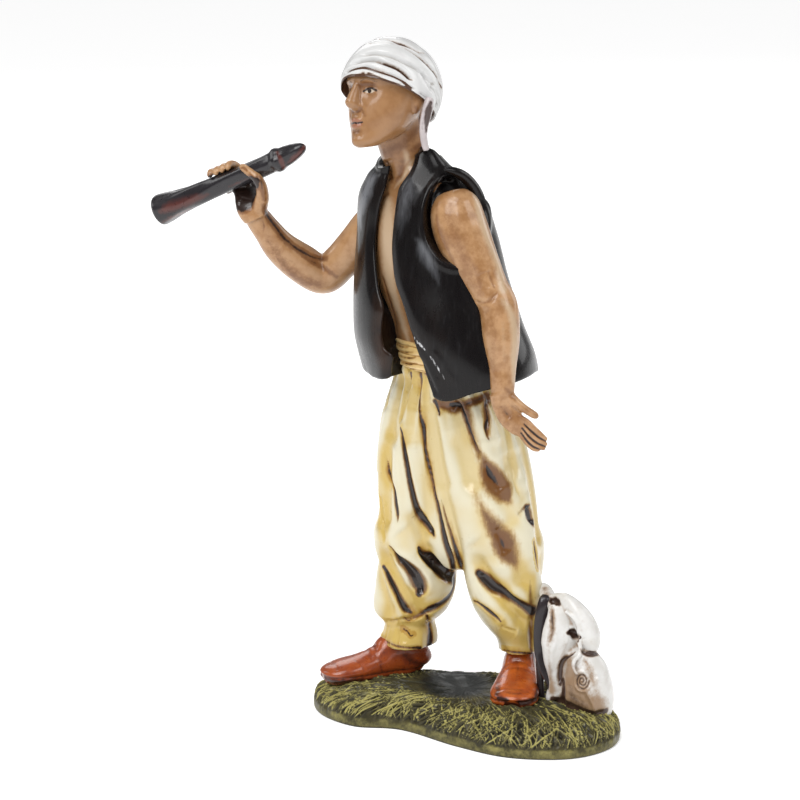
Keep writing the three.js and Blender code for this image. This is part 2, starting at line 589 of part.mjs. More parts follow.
const moulding = union([
  mound(), leftShoe, rightShoe,
  trouserLeg(rightLeg, rightFolds), trouserLeg(leftLeg, leftFolds), trouserSeat(),
  torso(), neck(), sash(), waistcoat(),
  leftArm(), rightArm(), leftHand(), pipe(), rightHand(), face(), turban(), turbanTail(), bundle(),
]);

const figure = new THREE.Mesh(toGeometry(moulding), new THREE.MeshStandardMaterial({
  color: 0xc9b27a, roughness: 0.42, metalness: 0,
}));
figure.name = 'figure';

const group = new THREE.Group();
group.add(figure);

export default group;
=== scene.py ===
import math
import bpy
import numpy as np
from mathutils import Matrix, Vector
from mathutils.bvhtree import BVHTree


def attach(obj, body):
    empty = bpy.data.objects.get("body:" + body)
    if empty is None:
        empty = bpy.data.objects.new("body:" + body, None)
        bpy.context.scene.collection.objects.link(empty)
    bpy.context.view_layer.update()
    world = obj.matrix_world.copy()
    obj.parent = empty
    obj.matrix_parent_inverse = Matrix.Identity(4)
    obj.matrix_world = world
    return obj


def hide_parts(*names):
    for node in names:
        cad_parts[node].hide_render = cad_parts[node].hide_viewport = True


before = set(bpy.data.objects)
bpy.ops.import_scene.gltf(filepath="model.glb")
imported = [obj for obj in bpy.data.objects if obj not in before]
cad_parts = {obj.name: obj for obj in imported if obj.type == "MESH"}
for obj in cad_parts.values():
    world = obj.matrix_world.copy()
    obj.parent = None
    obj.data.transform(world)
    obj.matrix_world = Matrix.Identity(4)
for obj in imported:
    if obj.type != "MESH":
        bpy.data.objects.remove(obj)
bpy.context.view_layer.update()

# The pieces are worked out in millimetres, in the frame of the CAD: +Z up, the figure faces -Y.
# Poses are in hundredths of the stature, from the top of the mound.
body = {"stature": 114, "moundTop": 6.0}
unit = body["stature"] / 100


def at(x, y, z):
    return np.array([x * unit, y * unit, body["moundTop"] + z * unit])


def smoothstep(value, low, high):
    share = np.clip((value - low) / (high - low), 0, 1)
    return share * share * (3 - 2 * share)


def unitary(vector):
    vector = np.asarray(vector, float)
    return vector / np.linalg.norm(vector, axis=-1, keepdims=True)


# The camera, and the picture's frame: strokes are placed where they are seen from it
picture = {"turn": 45, "lift": 13, "distance": 500, "focal": 2917.6, "aim": (-8.08, -8.08, 58.1), "side": 800}


def viewAxes():
    turn, lift = math.radians(picture["turn"]), math.radians(picture["lift"])
    right = np.array([math.cos(turn), math.sin(turn), 0.0])
    away = np.array([-math.sin(turn), math.cos(turn), 0.0])
    ahead = away * math.cos(lift) - np.array([0, 0, math.sin(lift)])
    above = away * math.sin(lift) + np.array([0, 0, math.cos(lift)])
    return right, above, ahead


viewRight, viewAbove, viewAhead = viewAxes()
eye = np.array(picture["aim"]) - viewAhead * picture["distance"]


def sightLines(points):
    # Rays from the camera through points of the picture
    points = np.asarray(points, float) - picture["side"] / 2
    rays = viewAhead * picture["focal"] + viewRight * points[:, :1] - viewAbove * points[:, 1:2]
    return np.tile(eye, (len(points), 1)), unitary(rays)


def inPicture(x, y, away):
    # The point seen at x, y of the picture, that far behind the upright plane through the origin
    origins, rays = sightLines([(x, y)])
    back = unitary([viewAhead[0], viewAhead[1], 0])
    return origins[0] + rays[0] * (away - origins[0] @ back) / (rays[0] @ back)


def onPicture(points):
    # Where points are seen in the picture
    gap = points - eye
    scale = picture["focal"] / (gap @ viewAhead)
    middle = picture["side"] / 2
    return np.stack([middle + gap @ viewRight * scale, middle - gap @ viewAbove * scale], -1)


# Curves and lofts

def spline(points, shares, closed=False):
    # A curve through the points, evenly shared between them
    points = np.asarray(points, float)
    count = len(points)
    if closed:
        place = np.asarray(shares) % 1 * count
        low = np.floor(place).astype(int)
        a, b, c, d = (points[(low + k) % count] for k in (-1, 0, 1, 2))
    else:
        place = np.asarray(shares, float) * (count - 1)
        low = np.clip(np.floor(place).astype(int), 0, count - 2)
        wide = np.vstack([2 * points[:1] - points[1:2], points, 2 * points[-1:] - points[-2:-1]])
        a, b, c, d = (wide[low + k] for k in range(4))
    w = (place - low)[:, None]
    start, end = (c - a) / 2, (d - b) / 2
    return b + w * start + w**2 * (3 * (c - b) - 2 * start - end) + w**3 * (2 * (b - c) + start + end)


class Form:
    # A closed skin: its points, its four-sided faces, and faces with any other number of sides
    def __init__(self, points, quads, caps=()):
        self.points = np.array(points, float).reshape(-1, 3)
        self.quads = np.array(quads, int).reshape(-1, 4)
        self.caps = [[int(i) for i in cap] for cap in caps]
        self.marks = {}

    def mark(self, name):
        if name not in self.marks:
            self.marks[name] = np.zeros(len(self.points))
        return self.marks[name]

    def links(self):
        if not hasattr(self, "pairs"):
            around = np.concatenate([self.quads[:, [k, (k + 1) % 4]] for k in range(4)])
            self.pairs = np.concatenate([around, around[:, ::-1]])
            self.counts = np.maximum(np.bincount(self.pairs[:, 0], minlength=len(self.points)), 1)
        return self.pairs, self.counts

    def average(self, values):
        pairs, counts = self.links()
        flat = values.reshape(len(values), -1)
        sums = [np.bincount(pairs[:, 0], flat[pairs[:, 1], k], len(self.points))
                for k in range(flat.shape[1])]
        return (np.stack(sums, 1) / counts[:, None]).reshape(values.shape)

    def relax(self, rounds, share=0.5, where=None):
        weight = share if where is None else (share * where)[:, None]
        for _ in range(rounds):
            self.points += weight * (self.average(self.points) - self.points)
        return self

    def normals(self):
        a, b, c, d = (self.points[self.quads[:, k]] for k in range(4))
        cross = np.cross(c - a, d - b)
        total = np.zeros_like(self.points)
        for k in range(4):
            for axis in range(3):
                total[:, axis] += np.bincount(self.quads[:, k], cross[:, axis], len(self.points))
        return total / np.maximum(np.linalg.norm(total, axis=1, keepdims=True), 1e-12)

    def push(self, distance):
        self.points += self.normals() * distance[:, None]
        return self

    def hollows(self, rounds, size):
        # How far each point lies under the smoothed form, 1 for the size given
        smooth = self.points
        for _ in range(rounds):
            smooth = smooth + 0.6 * (self.average(smooth) - smooth)
        depth = np.einsum("ij,ij->i", smooth - self.points, self.normals())
        return np.clip(depth / size, -1, 1)

    def tree(self):
        return BVHTree.FromPolygons(self.points.tolist(), self.quads.tolist())


def loft(rings, closedPath=False):
    # A closed skin through rings that all have the same number of points
    count, sides = rings.shape[:2]
    spans = count if closedPath else count - 1
    low = np.arange(spans)[:, None] * sides
    high = (np.arange(spans)[:, None] + 1) % count * sides
    here = np.arange(sides)[None]
    after = (here + 1) % sides
    quads = np.stack([low + here, low + after, high + after, high + here], -1)
    caps = [] if closedPath else [range(sides)[::-1], range((count - 1) * sides, count * sides)]
    return Form(rings, quads, caps)


def swept(stations, sides, steps, side=(1, 0, 0), axis=None, power=2.0, relief=None):
    # A body through stations [centre, half width, half depth]; with an axis its sections stand square to it
    shares = np.linspace(0, 1, steps + 1)
    centre = spline([s[0] for s in stations], shares)
    size = np.maximum(spline([(s[1], s[-1]) for s in stations], shares), 0.05)
    if axis is None:
        tangent = unitary(spline([s[0] for s in stations], np.minimum(shares + 1e-4, 1))
                          - spline([s[0] for s in stations], np.maximum(shares - 1e-4, 0)))
    else:
        tangent = np.tile(unitary(axis), (steps + 1, 1))
    side = np.asarray(side, float)
    across = unitary(side - tangent * (tangent @ side)[:, None])
    along = np.cross(tangent, across)
    turn = np.arange(sides) / sides * 2 * math.pi
    c, s = np.cos(turn), np.sin(turn)
    swell = (np.abs(c)**power + np.abs(s)**power)**(-1 / power)
    extra = 0 if relief is None else relief(turn[None, :], shares[:, None], centre[:, None, :])
    wide = (size[:, :1] * swell + extra) * c
    deep = (size[:, 1:] * swell + extra) * s
    rings = centre[:, None] + across[:, None] * wide[..., None] + along[:, None] * deep[..., None]
    return loft(rings)


def tube(rows, sides, steps, **how):
    # The same through rows of x, y, z, half width and half depth in hundredths of the stature
    stations = [[at(x, y, z), wide * unit, deep * unit] for x, y, z, wide, deep in rows]
    return swept(stations, sides, steps, **how)


def joined(forms):
    points, quads, caps, start = [], [], [], 0
    for form in forms:
        points.append(form.points)
        quads.append(form.quads + start)
        caps += [[i + start for i in cap] for cap in form.caps]
        start += len(form.points)
    return Form(np.vstack(points), np.vstack(quads), caps)


def meshOf(form, name, scale=1.0):
    mesh = bpy.data.meshes.new(name)
    mesh.from_pydata((form.points * scale).tolist(), [], form.quads.tolist() + form.caps)
    mesh.validate()
    return mesh


def shown(name, data):
    holder = bpy.data.objects.new(name, data)
    bpy.context.scene.collection.objects.link(holder)
    return holder


def cast(forms, grain, rounds):
    # Melts overlapping forms into one skin with faces of one size, as in a casting
    mesh = meshOf(joined(forms), "melt")
    holder = shown("melt", mesh)
    melt = holder.modifiers.new("melt", "REMESH")
    melt.mode = "VOXEL"
    melt.voxel_size = grain
    result = holder.evaluated_get(bpy.context.evaluated_depsgraph_get()).to_mesh()
    points = np.empty(len(result.vertices) * 3)
    result.vertices.foreach_get("co", points)
    corners = np.empty(len(result.loops), int)
    result.loops.foreach_get("vertex_index", corners)
    bpy.data.objects.remove(holder)
    bpy.data.meshes.remove(mesh)
    return Form(points, corners).relax(rounds)


# Strokes: grooves, ridges and brushed paint along lines laid on a form

def lieOn(tree, origins, rays, extra):
    # Where the rays meet the form, each with what it carries
    rows = []
    for origin, ray, carried in zip(origins, rays, extra):
        place, normal = tree.ray_cast(Vector(origin), Vector(ray))[:2]
        # a ray that slips under an open edge meets the far side from within
        if place is not None and normal.dot(Vector(ray)) < 0:
            rows.append((*place, *carried))
    return np.array(rows).reshape(-1, 3 + extra.shape[1])


def evenly(points, step, weights=(1, 1)):
    # A smooth curve through the points, with about that step between its own; the weights make the first two
    # columns of a point lengths of one kind
    points = np.asarray(points, float)
    count = int(np.linalg.norm(np.diff(points[:, :2], axis=0) * weights, axis=1).sum() / step) + 2
    return spline(points, np.linspace(0, 1, count))


def seenLine(tree, points, step=1.4):
    # A smooth line through points of the picture, laid on the form. What follows x and y in a point,
    # such as its half width and how much paint lies there, is carried along
    smooth = evenly(points, step)
    return lieOn(tree, *sightLines(smooth), smooth[:, 2:])


def roundLine(tree, middle, places, step=0.3):
    # The same on any side of a form: places are (degrees from the front, height) round an upright axis
    smooth = evenly(places, step, (0.12, 1))
    turn = np.radians(smooth[:, 0])
    out = np.stack([np.sin(turn), -np.cos(turn), 0 * turn], 1)
    target = np.array([middle[0], middle[1], 0.0]) + np.stack([0 * turn, 0 * turn, smooth[:, 1]], 1)
    return lieOn(tree, target + out * 40, -out, smooth[:, 2:])


def nearness(form, line, reach):
    # The points within reach of a line: their numbers, distances and the nearest place on it
    low, high = line.min(0) - reach, line.max(0) + reach
    near = np.nonzero(np.all((form.points > low) & (form.points < high), axis=1))[0]
    if not len(near):
        return near, near, near
    distance, best = np.full(len(near), 1e9), np.zeros(len(near), int)
    batch = 4000  # keeps the table of distances small
    for start in range(0, len(near), batch):
        part = slice(start, start + batch)
        gaps = np.linalg.norm(form.points[near[part]][:, None] - line[None], axis=2)
        best[part] = gaps.argmin(1)
        distance[part] = gaps.min(1)
    keep = distance < reach
    return near[keep], distance[keep], best[keep]


def strokeOn(form, line, depth, fold=0.0, name="wash", lips=0.2, spread=2.0):
    # Presses a groove of that depth (a ridge where it is negative) with raised lips and a broad fold about
    # it, and brushes paint in it. The line's columns are x, y, z, half width and paint
    if len(line) < 2:
        return
    reach = max(2.6 * line[:, 3].max() + 0.5, 2.1 * spread if fold else 0)
    near, distance, best = nearness(form, line[:, :3], reach)
    if not len(near):
        return
    width, colour = line[best, 3], line[best, 4]
    share = best / (len(line) - 1)
    taper = smoothstep(share, -0.02, 0.12) * smoothstep(1 - share, -0.02, 0.12)
    lip = np.exp(-((distance - 1.9 * width - 0.2) / (0.8 * width + 0.15))**2)
    lift = form.mark("lift")
    lift[near] -= depth * taper * np.exp(-(distance / (width * 1.1 + 0.12))**2)
    lift[near] += abs(depth) * lips * taper * lip
    lift[near] -= fold * taper * np.exp(-(distance / spread)**2)
    # the colour brushed along the line, used for wash and for painted shade
    brushed = form.mark(name)
    brushed[near] = np.maximum(brushed[near], colour * np.clip(1 - distance / (2.4 * width + 0.1), 0, 1))
    if name == "wash":
        # thin wash spreads about a millimetre beyond the groove
        warm = form.mark("warm")
        thin = np.minimum(colour * 1.3, 1) * np.exp(-(distance / (width + 1.0))**2)
        warm[near] = np.maximum(warm[near], thin)


def brush(form, tree, strokes, step=1.4, depth=0.0, **how):
    # Lays strokes on a form where the picture shows them. Each is its depth, its fold if it has one, and a
    # list of points, or that list alone. A point is x, y, half width and paint
    for stroke in strokes:
        *press, points = stroke if isinstance(stroke, tuple) else (depth, stroke)
        strokeOn(form, seenLine(tree, points, step), *press, **how)


def settle(form, rounds=1):
    # Moves the points by what the strokes have pressed or raised
    form.push(form.mark("lift"))
    form.marks["lift"] = np.zeros(len(form.points))
    return form.relax(rounds, 0.4)


# Paint: node sockets that take part in Python expressions

class Socket:
    def __init__(self, paint, link):
        self.paint = paint
        self.link = link

    def math(self, operation, first, second):
        return self.paint.node("ShaderNodeMath", {"operation": operation}, {0: first, 1: second})

    def __add__(self, other):
        return self.math("ADD", self, other)

    def __sub__(self, other):
        return self.math("SUBTRACT", self, other)

    def __rsub__(self, other):
        return self.math("SUBTRACT", other, self)

    def __mul__(self, other):
        return self.math("MULTIPLY", self, other)

    __radd__ = __add__
    __rmul__ = __mul__

    def ramp(self, low, high):
        # 0 under low, 1 over high, eased between them
        return self.paint.node("ShaderNodeMapRange", {"interpolation_type": "SMOOTHSTEP", "clamp": True},
                               {"Value": self, "From Min": low, "From Max": high})


class Paint:
    # One material: colours are laid over each other by their names in the look
    def __init__(self, name, look):
        self.material = bpy.data.materials.new(name)
        self.material.use_nodes = True
        self.nodes = self.material.node_tree.nodes
        self.links = self.material.node_tree.links
        self.nodes.clear()
        self.place = self.node("ShaderNodeTexCoord", out="Object")
        self.look = look

    def node(self, kind, settings=None, values=None, out=0):
        made = self.nodes.new(kind)
        for key, value in (settings or {}).items():
            setattr(made, key, value)
        for key, value in (values or {}).items():
            if isinstance(value, Socket):
                self.links.new(value.link, made.inputs[key])
            else:
                made.inputs[key].default_value = value
        return Socket(self, made.outputs[out])

    def noise(self, size, detail=4.0, rough=0.6, stretch=None):
        # Cloudy variation with patches of that size in millimetres
        place = self.place
        if stretch:
            place = self.node("ShaderNodeMapping", {}, {"Vector": place, "Scale": stretch})
        return self.node("ShaderNodeTexNoise", {}, {
            "Vector": place, "Scale": 1000 / size, "Detail": detail, "Roughness": rough})

    def mark(self, name):
        return self.node("ShaderNodeAttribute", {"attribute_name": name}, out="Fac")

    def blend(self, first, second, share):
        first, second = (v if isinstance(v, Socket) else (*v, 1.0) for v in (first, second))
        # the node's sockets by number: 0 is its factor, 6 and 7 its colours, 2 the blended one
        return self.node("ShaderNodeMix", {"data_type": "RGBA", "clamp_factor": True},
                         {0: share, 6: first, 7: second}, out=2)

    def start(self, first, second, share):
        self.colour = self.blend(self.look[first], self.look[second], share)

    def lay(self, name, share):
        self.colour = self.blend(self.colour, self.look[name], share)

    def finish(self, roughness, height, depth, glow=0.0):
        # The shader, with that depth of bump in millimetres
        gloss = self.look.get("gloss", varnish)
        bump = self.node("ShaderNodeBump", {}, {"Strength": 1.0, "Distance": depth / 1000, "Height": height})
        shader = self.node("ShaderNodeBsdfPrincipled", {}, {
            "Base Color": self.colour, "Roughness": roughness, "Normal": bump, "IOR": 1.45,
            "Specular IOR Level": gloss["specular"],
            "Coat Weight": gloss["coat"], "Coat Roughness": gloss["coatRoughness"],
            "Emission Color": (1, 1, 1, 1), "Emission Strength": glow})
        output = self.nodes.new("ShaderNodeOutputMaterial")
        self.links.new(shader.link, output.inputs["Surface"])
        return self.material


varnish = {"coat": .5, "coatRoughness": .1, "specular": .35}


# What a painted piece has where its own look doesn't say otherwise: sizes in millimetres, strengths 0 to 1
plainPaint = {
    "patch": 6, "grain": .9, "uneven": .6, "shading": 1, "wear": .4, "ragged": .5, "washAt": (.22, .5),
    "thinAt": (.02, .4), "speck": .5, "specks": .15, "roughness": .38, "bump": .05,
}


def brushedPaint(name, own):
    # Body colour with a lighter and a darker cast, dark wash in the grooves, and the hand of the brush
    look = {**plainPaint, **own}
    paint = Paint(name, look)
    broad = paint.noise(look["patch"], 3)
    fine = paint.noise(look["grain"], 5, 0.7)
    paint.start("light", "deep", broad.ramp(0.35, 0.7) * look["uneven"])
    hollow = paint.mark("hollow")
    # painted shade in the hollows
    paint.lay("shade", hollow.ramp(0.02, 0.6) * (0.55 + fine * 0.9) * look["shading"])
    # a lighter colour on the raised parts: wear, and painted highlight
    height = hollow.ramp(-0.9, -0.05) + fine * 0.3
    paint.colour = paint.blend(look["worn"], paint.colour, height + (1 - look["wear"]))
    # a second colour where strokes lay it: the blades' colour, red under the brown, painted light on the arms
    # and painted shade on the bundle
    if "second" in look:
        paint.lay("second", (paint.mark("second") + (fine - 0.5) * 0.5).ramp(0.25, 0.75))
    # dark wash in the grooves, and painted shade where strokes lay it in gaps, hollows and under parts
    wash = paint.mark("wash")
    paint.lay("thinWash", (wash + (fine - 0.5) * 0.7).ramp(*look["thinAt"]) * 0.75)
    paint.lay("wash", (wash + (fine - 0.5) * look["ragged"]).ramp(*look["washAt"]))
    paint.lay("wash", paint.noise(look["speck"], 2, 0.5).ramp(0.68, 0.78) * look["specks"])
    return paint.finish(look["roughness"] + (fine - 0.5) * 0.25, fine + broad * 0.5, look["bump"])


def finishPiece(form, name, material, hollowRounds=10, hollowSize=0.25):
    # Makes the object, with its marks as values for the paint
    form.marks["hollow"] = form.hollows(hollowRounds, hollowSize)
    mesh = meshOf(form, name, 0.001)
    for mark, values in form.marks.items():
        if mark != "lift":
            layer = mesh.attributes.new(mark, "FLOAT", "POINT")
            layer.data.foreach_set("value", values.astype(np.float32))
    mesh.materials.append(material)
    mesh.polygons.foreach_set("use_smooth", np.ones(len(mesh.polygons), bool))
    piece = shown(name, mesh)
    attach(piece, "root")
    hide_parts("figure")
    triangles = 2 * len(form.quads) + sum(len(cap) - 2 for cap in form.caps)
    print(f"{name}: {triangles} triangles")


# Mound of grass
mound = {
    "length": 57.5, "depth": 29.5, "turn": 22, "sides": 740,
    "outline": [
        [-1, 0], [-.87, -.44], [-.6, -.68], [-.3, -.58], [.12, -.86], [.49, -.98], [.84, -.72],
        [.99, -.14], [.87, .5], [.45, .92], [0, 1.02], [-.49, .75], [-.87, .41]],
    # share of the outline, height, share of the grass
    "profile": [
        [.95, 0, 0], [.985, .02, 0], [.998, .3, 0], [1, 1, 0], [1, 1.7, .4], [.985, 2.6, 1],
        [.96, 3.4, 1], [.87, 4.6, 1], [.73, 5.5, 1], [.5, 6, .9], [.25, 6, .5], [.02, 6, .1]],
    # rows of points between one place of the profile and the next
    "rows": [2, 3, 4, 4, 8, 9, 14, 15, 13, 8, 4],
    # blades, each from least to most: length, half width, height, and where on the profile the low and the
    # high ones have their roots; then the middle and spread of their lean, and how much they curl
    "blades": 1500, "seed": 11, "bladeLength": (3.8, 8.5), "bladeWidth": (.15, .25),
    "bladeHeight": (.45, 1.2),
    "lowRoots": (.29, .62), "highRoots": (.58, .93), "lean": (.3, .4), "curl": .25, "bladePoints": 44,
    # how much of the blades' colour the rim has
    "rim": .40,
    # the darker patch between the feet, with fewer and lower blades: its middle and half sizes in the
    # picture, and the strokes in it
    "bare": (455, 684, 36, 14),
    "pressed": [[(436 + 4 * k, 684 + k, .1, .45), (437.5 + 4 * k, 689 + k, .1, .45),
        (437 + 4 * k, 696, .1, .45)] for k in range(4)],
    "paint": {
        "light": (.058, .05, .022), "deep": (.026, .024, .013), "shade": (.011, .01, .006),
        "wash": (.011, .012, .01), "thinWash": (.022, .022, .014), "worn": (.085, .076, .026),
        "second": (.36, .32, .10), "patch": 5, "uneven": .9, "specks": .3, "roughness": .42, "wear": .3,
        "gloss": {"coat": .2, "coatRoughness": .14, "specular": .12},
    },
}


def growGrass(form, spin):
    # How high the blades stand at each point of the mound, and how much of their colour is there
    height, blades = np.zeros(len(form.points)), np.zeros(len(form.points))
    rng = np.random.default_rng(mound["seed"])
    shares = np.linspace(0, 1, 400)
    slope = spline(mound["profile"], shares) * (mound["length"] * 0.38, 1, 1)
    along = np.concatenate([[0], np.cumsum(np.linalg.norm(np.diff(slope[:, :2], axis=0), axis=1))])
    steps = np.linspace(0, 1, mound["bladePoints"])
    for number in range(mound["blades"]):
        # Each blade grows from its root up and in, leaning towards the figure's left
        up = rng.uniform(*mound["lowRoots" if number % 3 else "highRoots"])
        root = rng.uniform()
        length = rng.uniform(*mound["bladeLength"]) * (0.75 if up < 0.45 else 1)
        rise = np.interp(np.interp(up, shares, along) + length * steps, along, shares)
        radius = np.interp(rise, shares, slope[:, 0])
        lean = rng.normal(*mound["lean"]) * steps + rng.normal(0, mound["curl"]) * steps**2
        lean = length * lean / (2 * math.pi * np.maximum(radius, 4))
        flat = spline(mound["outline"], root + lean, True) * (mound["length"] / 2, mound["depth"] / 2)
        place = spline(mound["profile"], np.clip(rise, 0, 1))
        line = np.column_stack([flat * place[:, :1], place[:, 1]]) @ spin
        width = rng.uniform(*mound["bladeWidth"])
        near, distance, best = nearness(form, line, 2.2 * width)
        if not len(near):
            continue
        share = best / (len(line) - 1)
        narrow = width * (0.3 + 0.7 * np.sin(math.pi * np.clip(share * 0.8 + 0.15, 0, 1)))
        ridge = np.exp(-(distance / narrow)**2) * rng.uniform(*mound["bladeHeight"]) * (0.4 + 0.6 * share)
        tint = np.exp(-(distance / (0.72 * narrow))**2) * rng.uniform(0.25, 1.0)
        higher = ridge > height[near]
        height[near] = np.where(higher, ridge, height[near])
        blades[near] = np.where(higher, tint, blades[near])
    return height, blades


def makeMound():
    sides, rows = mound["sides"], mound["rows"]
    levels = np.concatenate([k + np.arange(count) / count for k, count in enumerate(rows)] + [[len(rows)]])
    halves = (mound["length"] / 2, mound["depth"] / 2)
    edge = spline(mound["outline"], np.arange(sides) / sides, True) * halves
    profile = spline(mound["profile"], levels / len(rows))
    rings = np.zeros((len(levels), sides, 3))
    rings[..., :2] = edge[None] * profile[:, None, :1]
    rings[..., 2] = np.clip(profile[:, 1], 0, None)[:, None]
    turn = math.radians(mound["turn"])
    spin = np.array([[math.cos(turn), math.sin(turn), 0], [-math.sin(turn), math.cos(turn), 0], [0, 0, 1]])
    form = loft(rings @ spin)
    seen = onPicture(form.points)
    middleX, middleY, wide, tall = mound["bare"]
    bare = np.exp(-(((seen[:, 0] - middleX) / wide)**2 + ((seen[:, 1] - middleY) / tall)**2)**2)
    height, blades = growGrass(form, spin)
    grass = np.repeat(np.clip(profile[:, 2], 0, 1), sides) * (1 - 0.85 * bare)
    x, y, z = form.points.T.copy()
    lumps = np.sin(x * 0.9) * np.sin(y * 1.3 + 1) * smoothstep(z, 0.4, 1.5)
    form.push((height - 0.3) * grass + 0.12 * lumps)
    z = form.points[:, 2]
    rim = smoothstep(2.5 - z, 0, 1.0) * (z > 0.25) * (1 + 0.35 * lumps)
    form.marks["second"] = np.maximum(blades * grass, mound["rim"] * rim)
    form.marks["wash"] = 0.7 * bare
    form.relax(8, 0.5, bare)
    brush(form, form.tree(), mound["pressed"], 0.8, 0.15, name="second")
    settle(form, 0)
    form.relax(1, 0.25)
    finishPiece(form, "mound", brushedPaint("grass paint", mound["paint"]))


# Shoes
shoes = {
    # where the heel's and the toe's middles stand, and the width
    "length": 18.4, "right": ((-12, 2.8), (-19.4, -11.4), 7.4), "left": ((.8, 12.3), (10.4, -.6), 8.3),
    # share of the length, share of the half width, height
    "stations": [
        [.0, .3, 2.2], [.04, .6, 4], [.13, .7, 5.6], [.3, .72, 6.3], [.44, .78, 4.7], [.64, .95, 3.2],
        [.82, 1.02, 2.6], [.95, .8, 1.95], [1, .34, 1.1]],
    # how far along the creases across the shoe lie
    "creases": (.5, .56, .9),
    # brown wash that has run into them and along the soles, and painted shade down one side of the left shoe:
    # (x, y, half width, paint)
    "leftWashAndShade": [
        [(505, 655, .3, .35), (502, 668, .4, .3), (498, 682, .4, .35), (497, 694, .4, .5)],
        [(534, 656, .5, .5), (537, 670, .5, .4), (538, 685, .5, .4), (536, 698, .4, .5)],
        [(498, 698, .3, .6), (510, 702, .35, .8), (524, 703, .35, .8), (536, 699, .3, .6)],
        [(517, 658, .1, .3), (518, 672, .12, .35), (516, 684, .1, .2)],
        [(503, 690, .2, .2), (514, 693, .25, .3), (528, 692, .2, .2)]],
    "rightWashAndShade": [
        [(323, 676, .3, .5), (332, 682, .4, .7), (348, 682, .4, .6), (366, 678, .3, .4)],
        [(386, 650, .3, .3), (380, 660, .4, .3), (382, 672, .3, .3)],
        [(405, 655, .4, .4), (412, 662, .5, .4), (424, 664, .4, .4)],
        [(352, 658, .1, .3), (360, 664, .12, .35), (364, 672, .1, .25)]],
    "leftPaint": {
        "light": (.46, .10, .013), "deep": (.27, .045, .009), "shade": (.10, .016, .006),
        "wash": (.035, .008, .004), "thinWash": (.13, .022, .008), "worn": (.58, .16, .04),
        "specks": .5, "speck": .8, "patch": 2.6, "uneven": .85, "roughness": .3,
    },
}
shoes["rightPaint"] = dict(shoes["leftPaint"], light=(0.33, 0.065, 0.012), deep=(0.20, 0.032, 0.008))


def makeShoe(side):
    heel, toe, width = shoes[side]
    heel, toe = at(*heel, 0), at(*toe, 0)
    direction = unitary(toe - heel)
    across = np.cross([0, 0, 1], direction)
    half = width / 2
    stations = []
    for share, wide, tall in shoes["stations"]:
        centre = heel + direction * share * shoes["length"]
        centre[2] = body["moundTop"] + (tall / 2 - 0.45) * unit
        stations.append([centre, wide * half, (tall / 2 + 0.45) * unit])
    form = swept(stations, 78, 92, side=across, power=2.25)
    # The sole stands out under the upper, and wash lies between them
    above = form.points[:, 2] - body["moundTop"]
    form.push(0.2 * smoothstep(0.7 - above, 0, 0.5) - 0.12 * np.exp(-((above - 0.85) / 0.2)**2))
    form.marks["wash"] = 0.42 * np.exp(-((above - 0.8) / 0.2)**2) + 0.3 * smoothstep(0.6 - above, 0, 0.6)
    tree = form.tree()
    count = 24
    for share in shoes["creases"]:
        middle = heel + direction * share * shoes["length"]
        over = [middle + across * half * k * 1.6 + np.array([0, 0, 12.0]) + direction * 0.8 * k * k
                for k in np.linspace(-0.5, 0.5, count)]
        down, widths = np.tile([0, 0, -1.0], (count, 1)), np.tile([0.22, 0.2], (count, 1))
        line = lieOn(tree, np.array(over), down, widths)
        strokeOn(form, line, 0.1, 0.12)
    # wash, and painted shade down one side of the left shoe
    brush(form, tree, shoes[side + "WashAndShade"], depth=0.06, lips=0)
    settle(form)
    name = side + "Shoe"
    finishPiece(form, name, brushedPaint(name + " paint", shoes[side + "Paint"]))


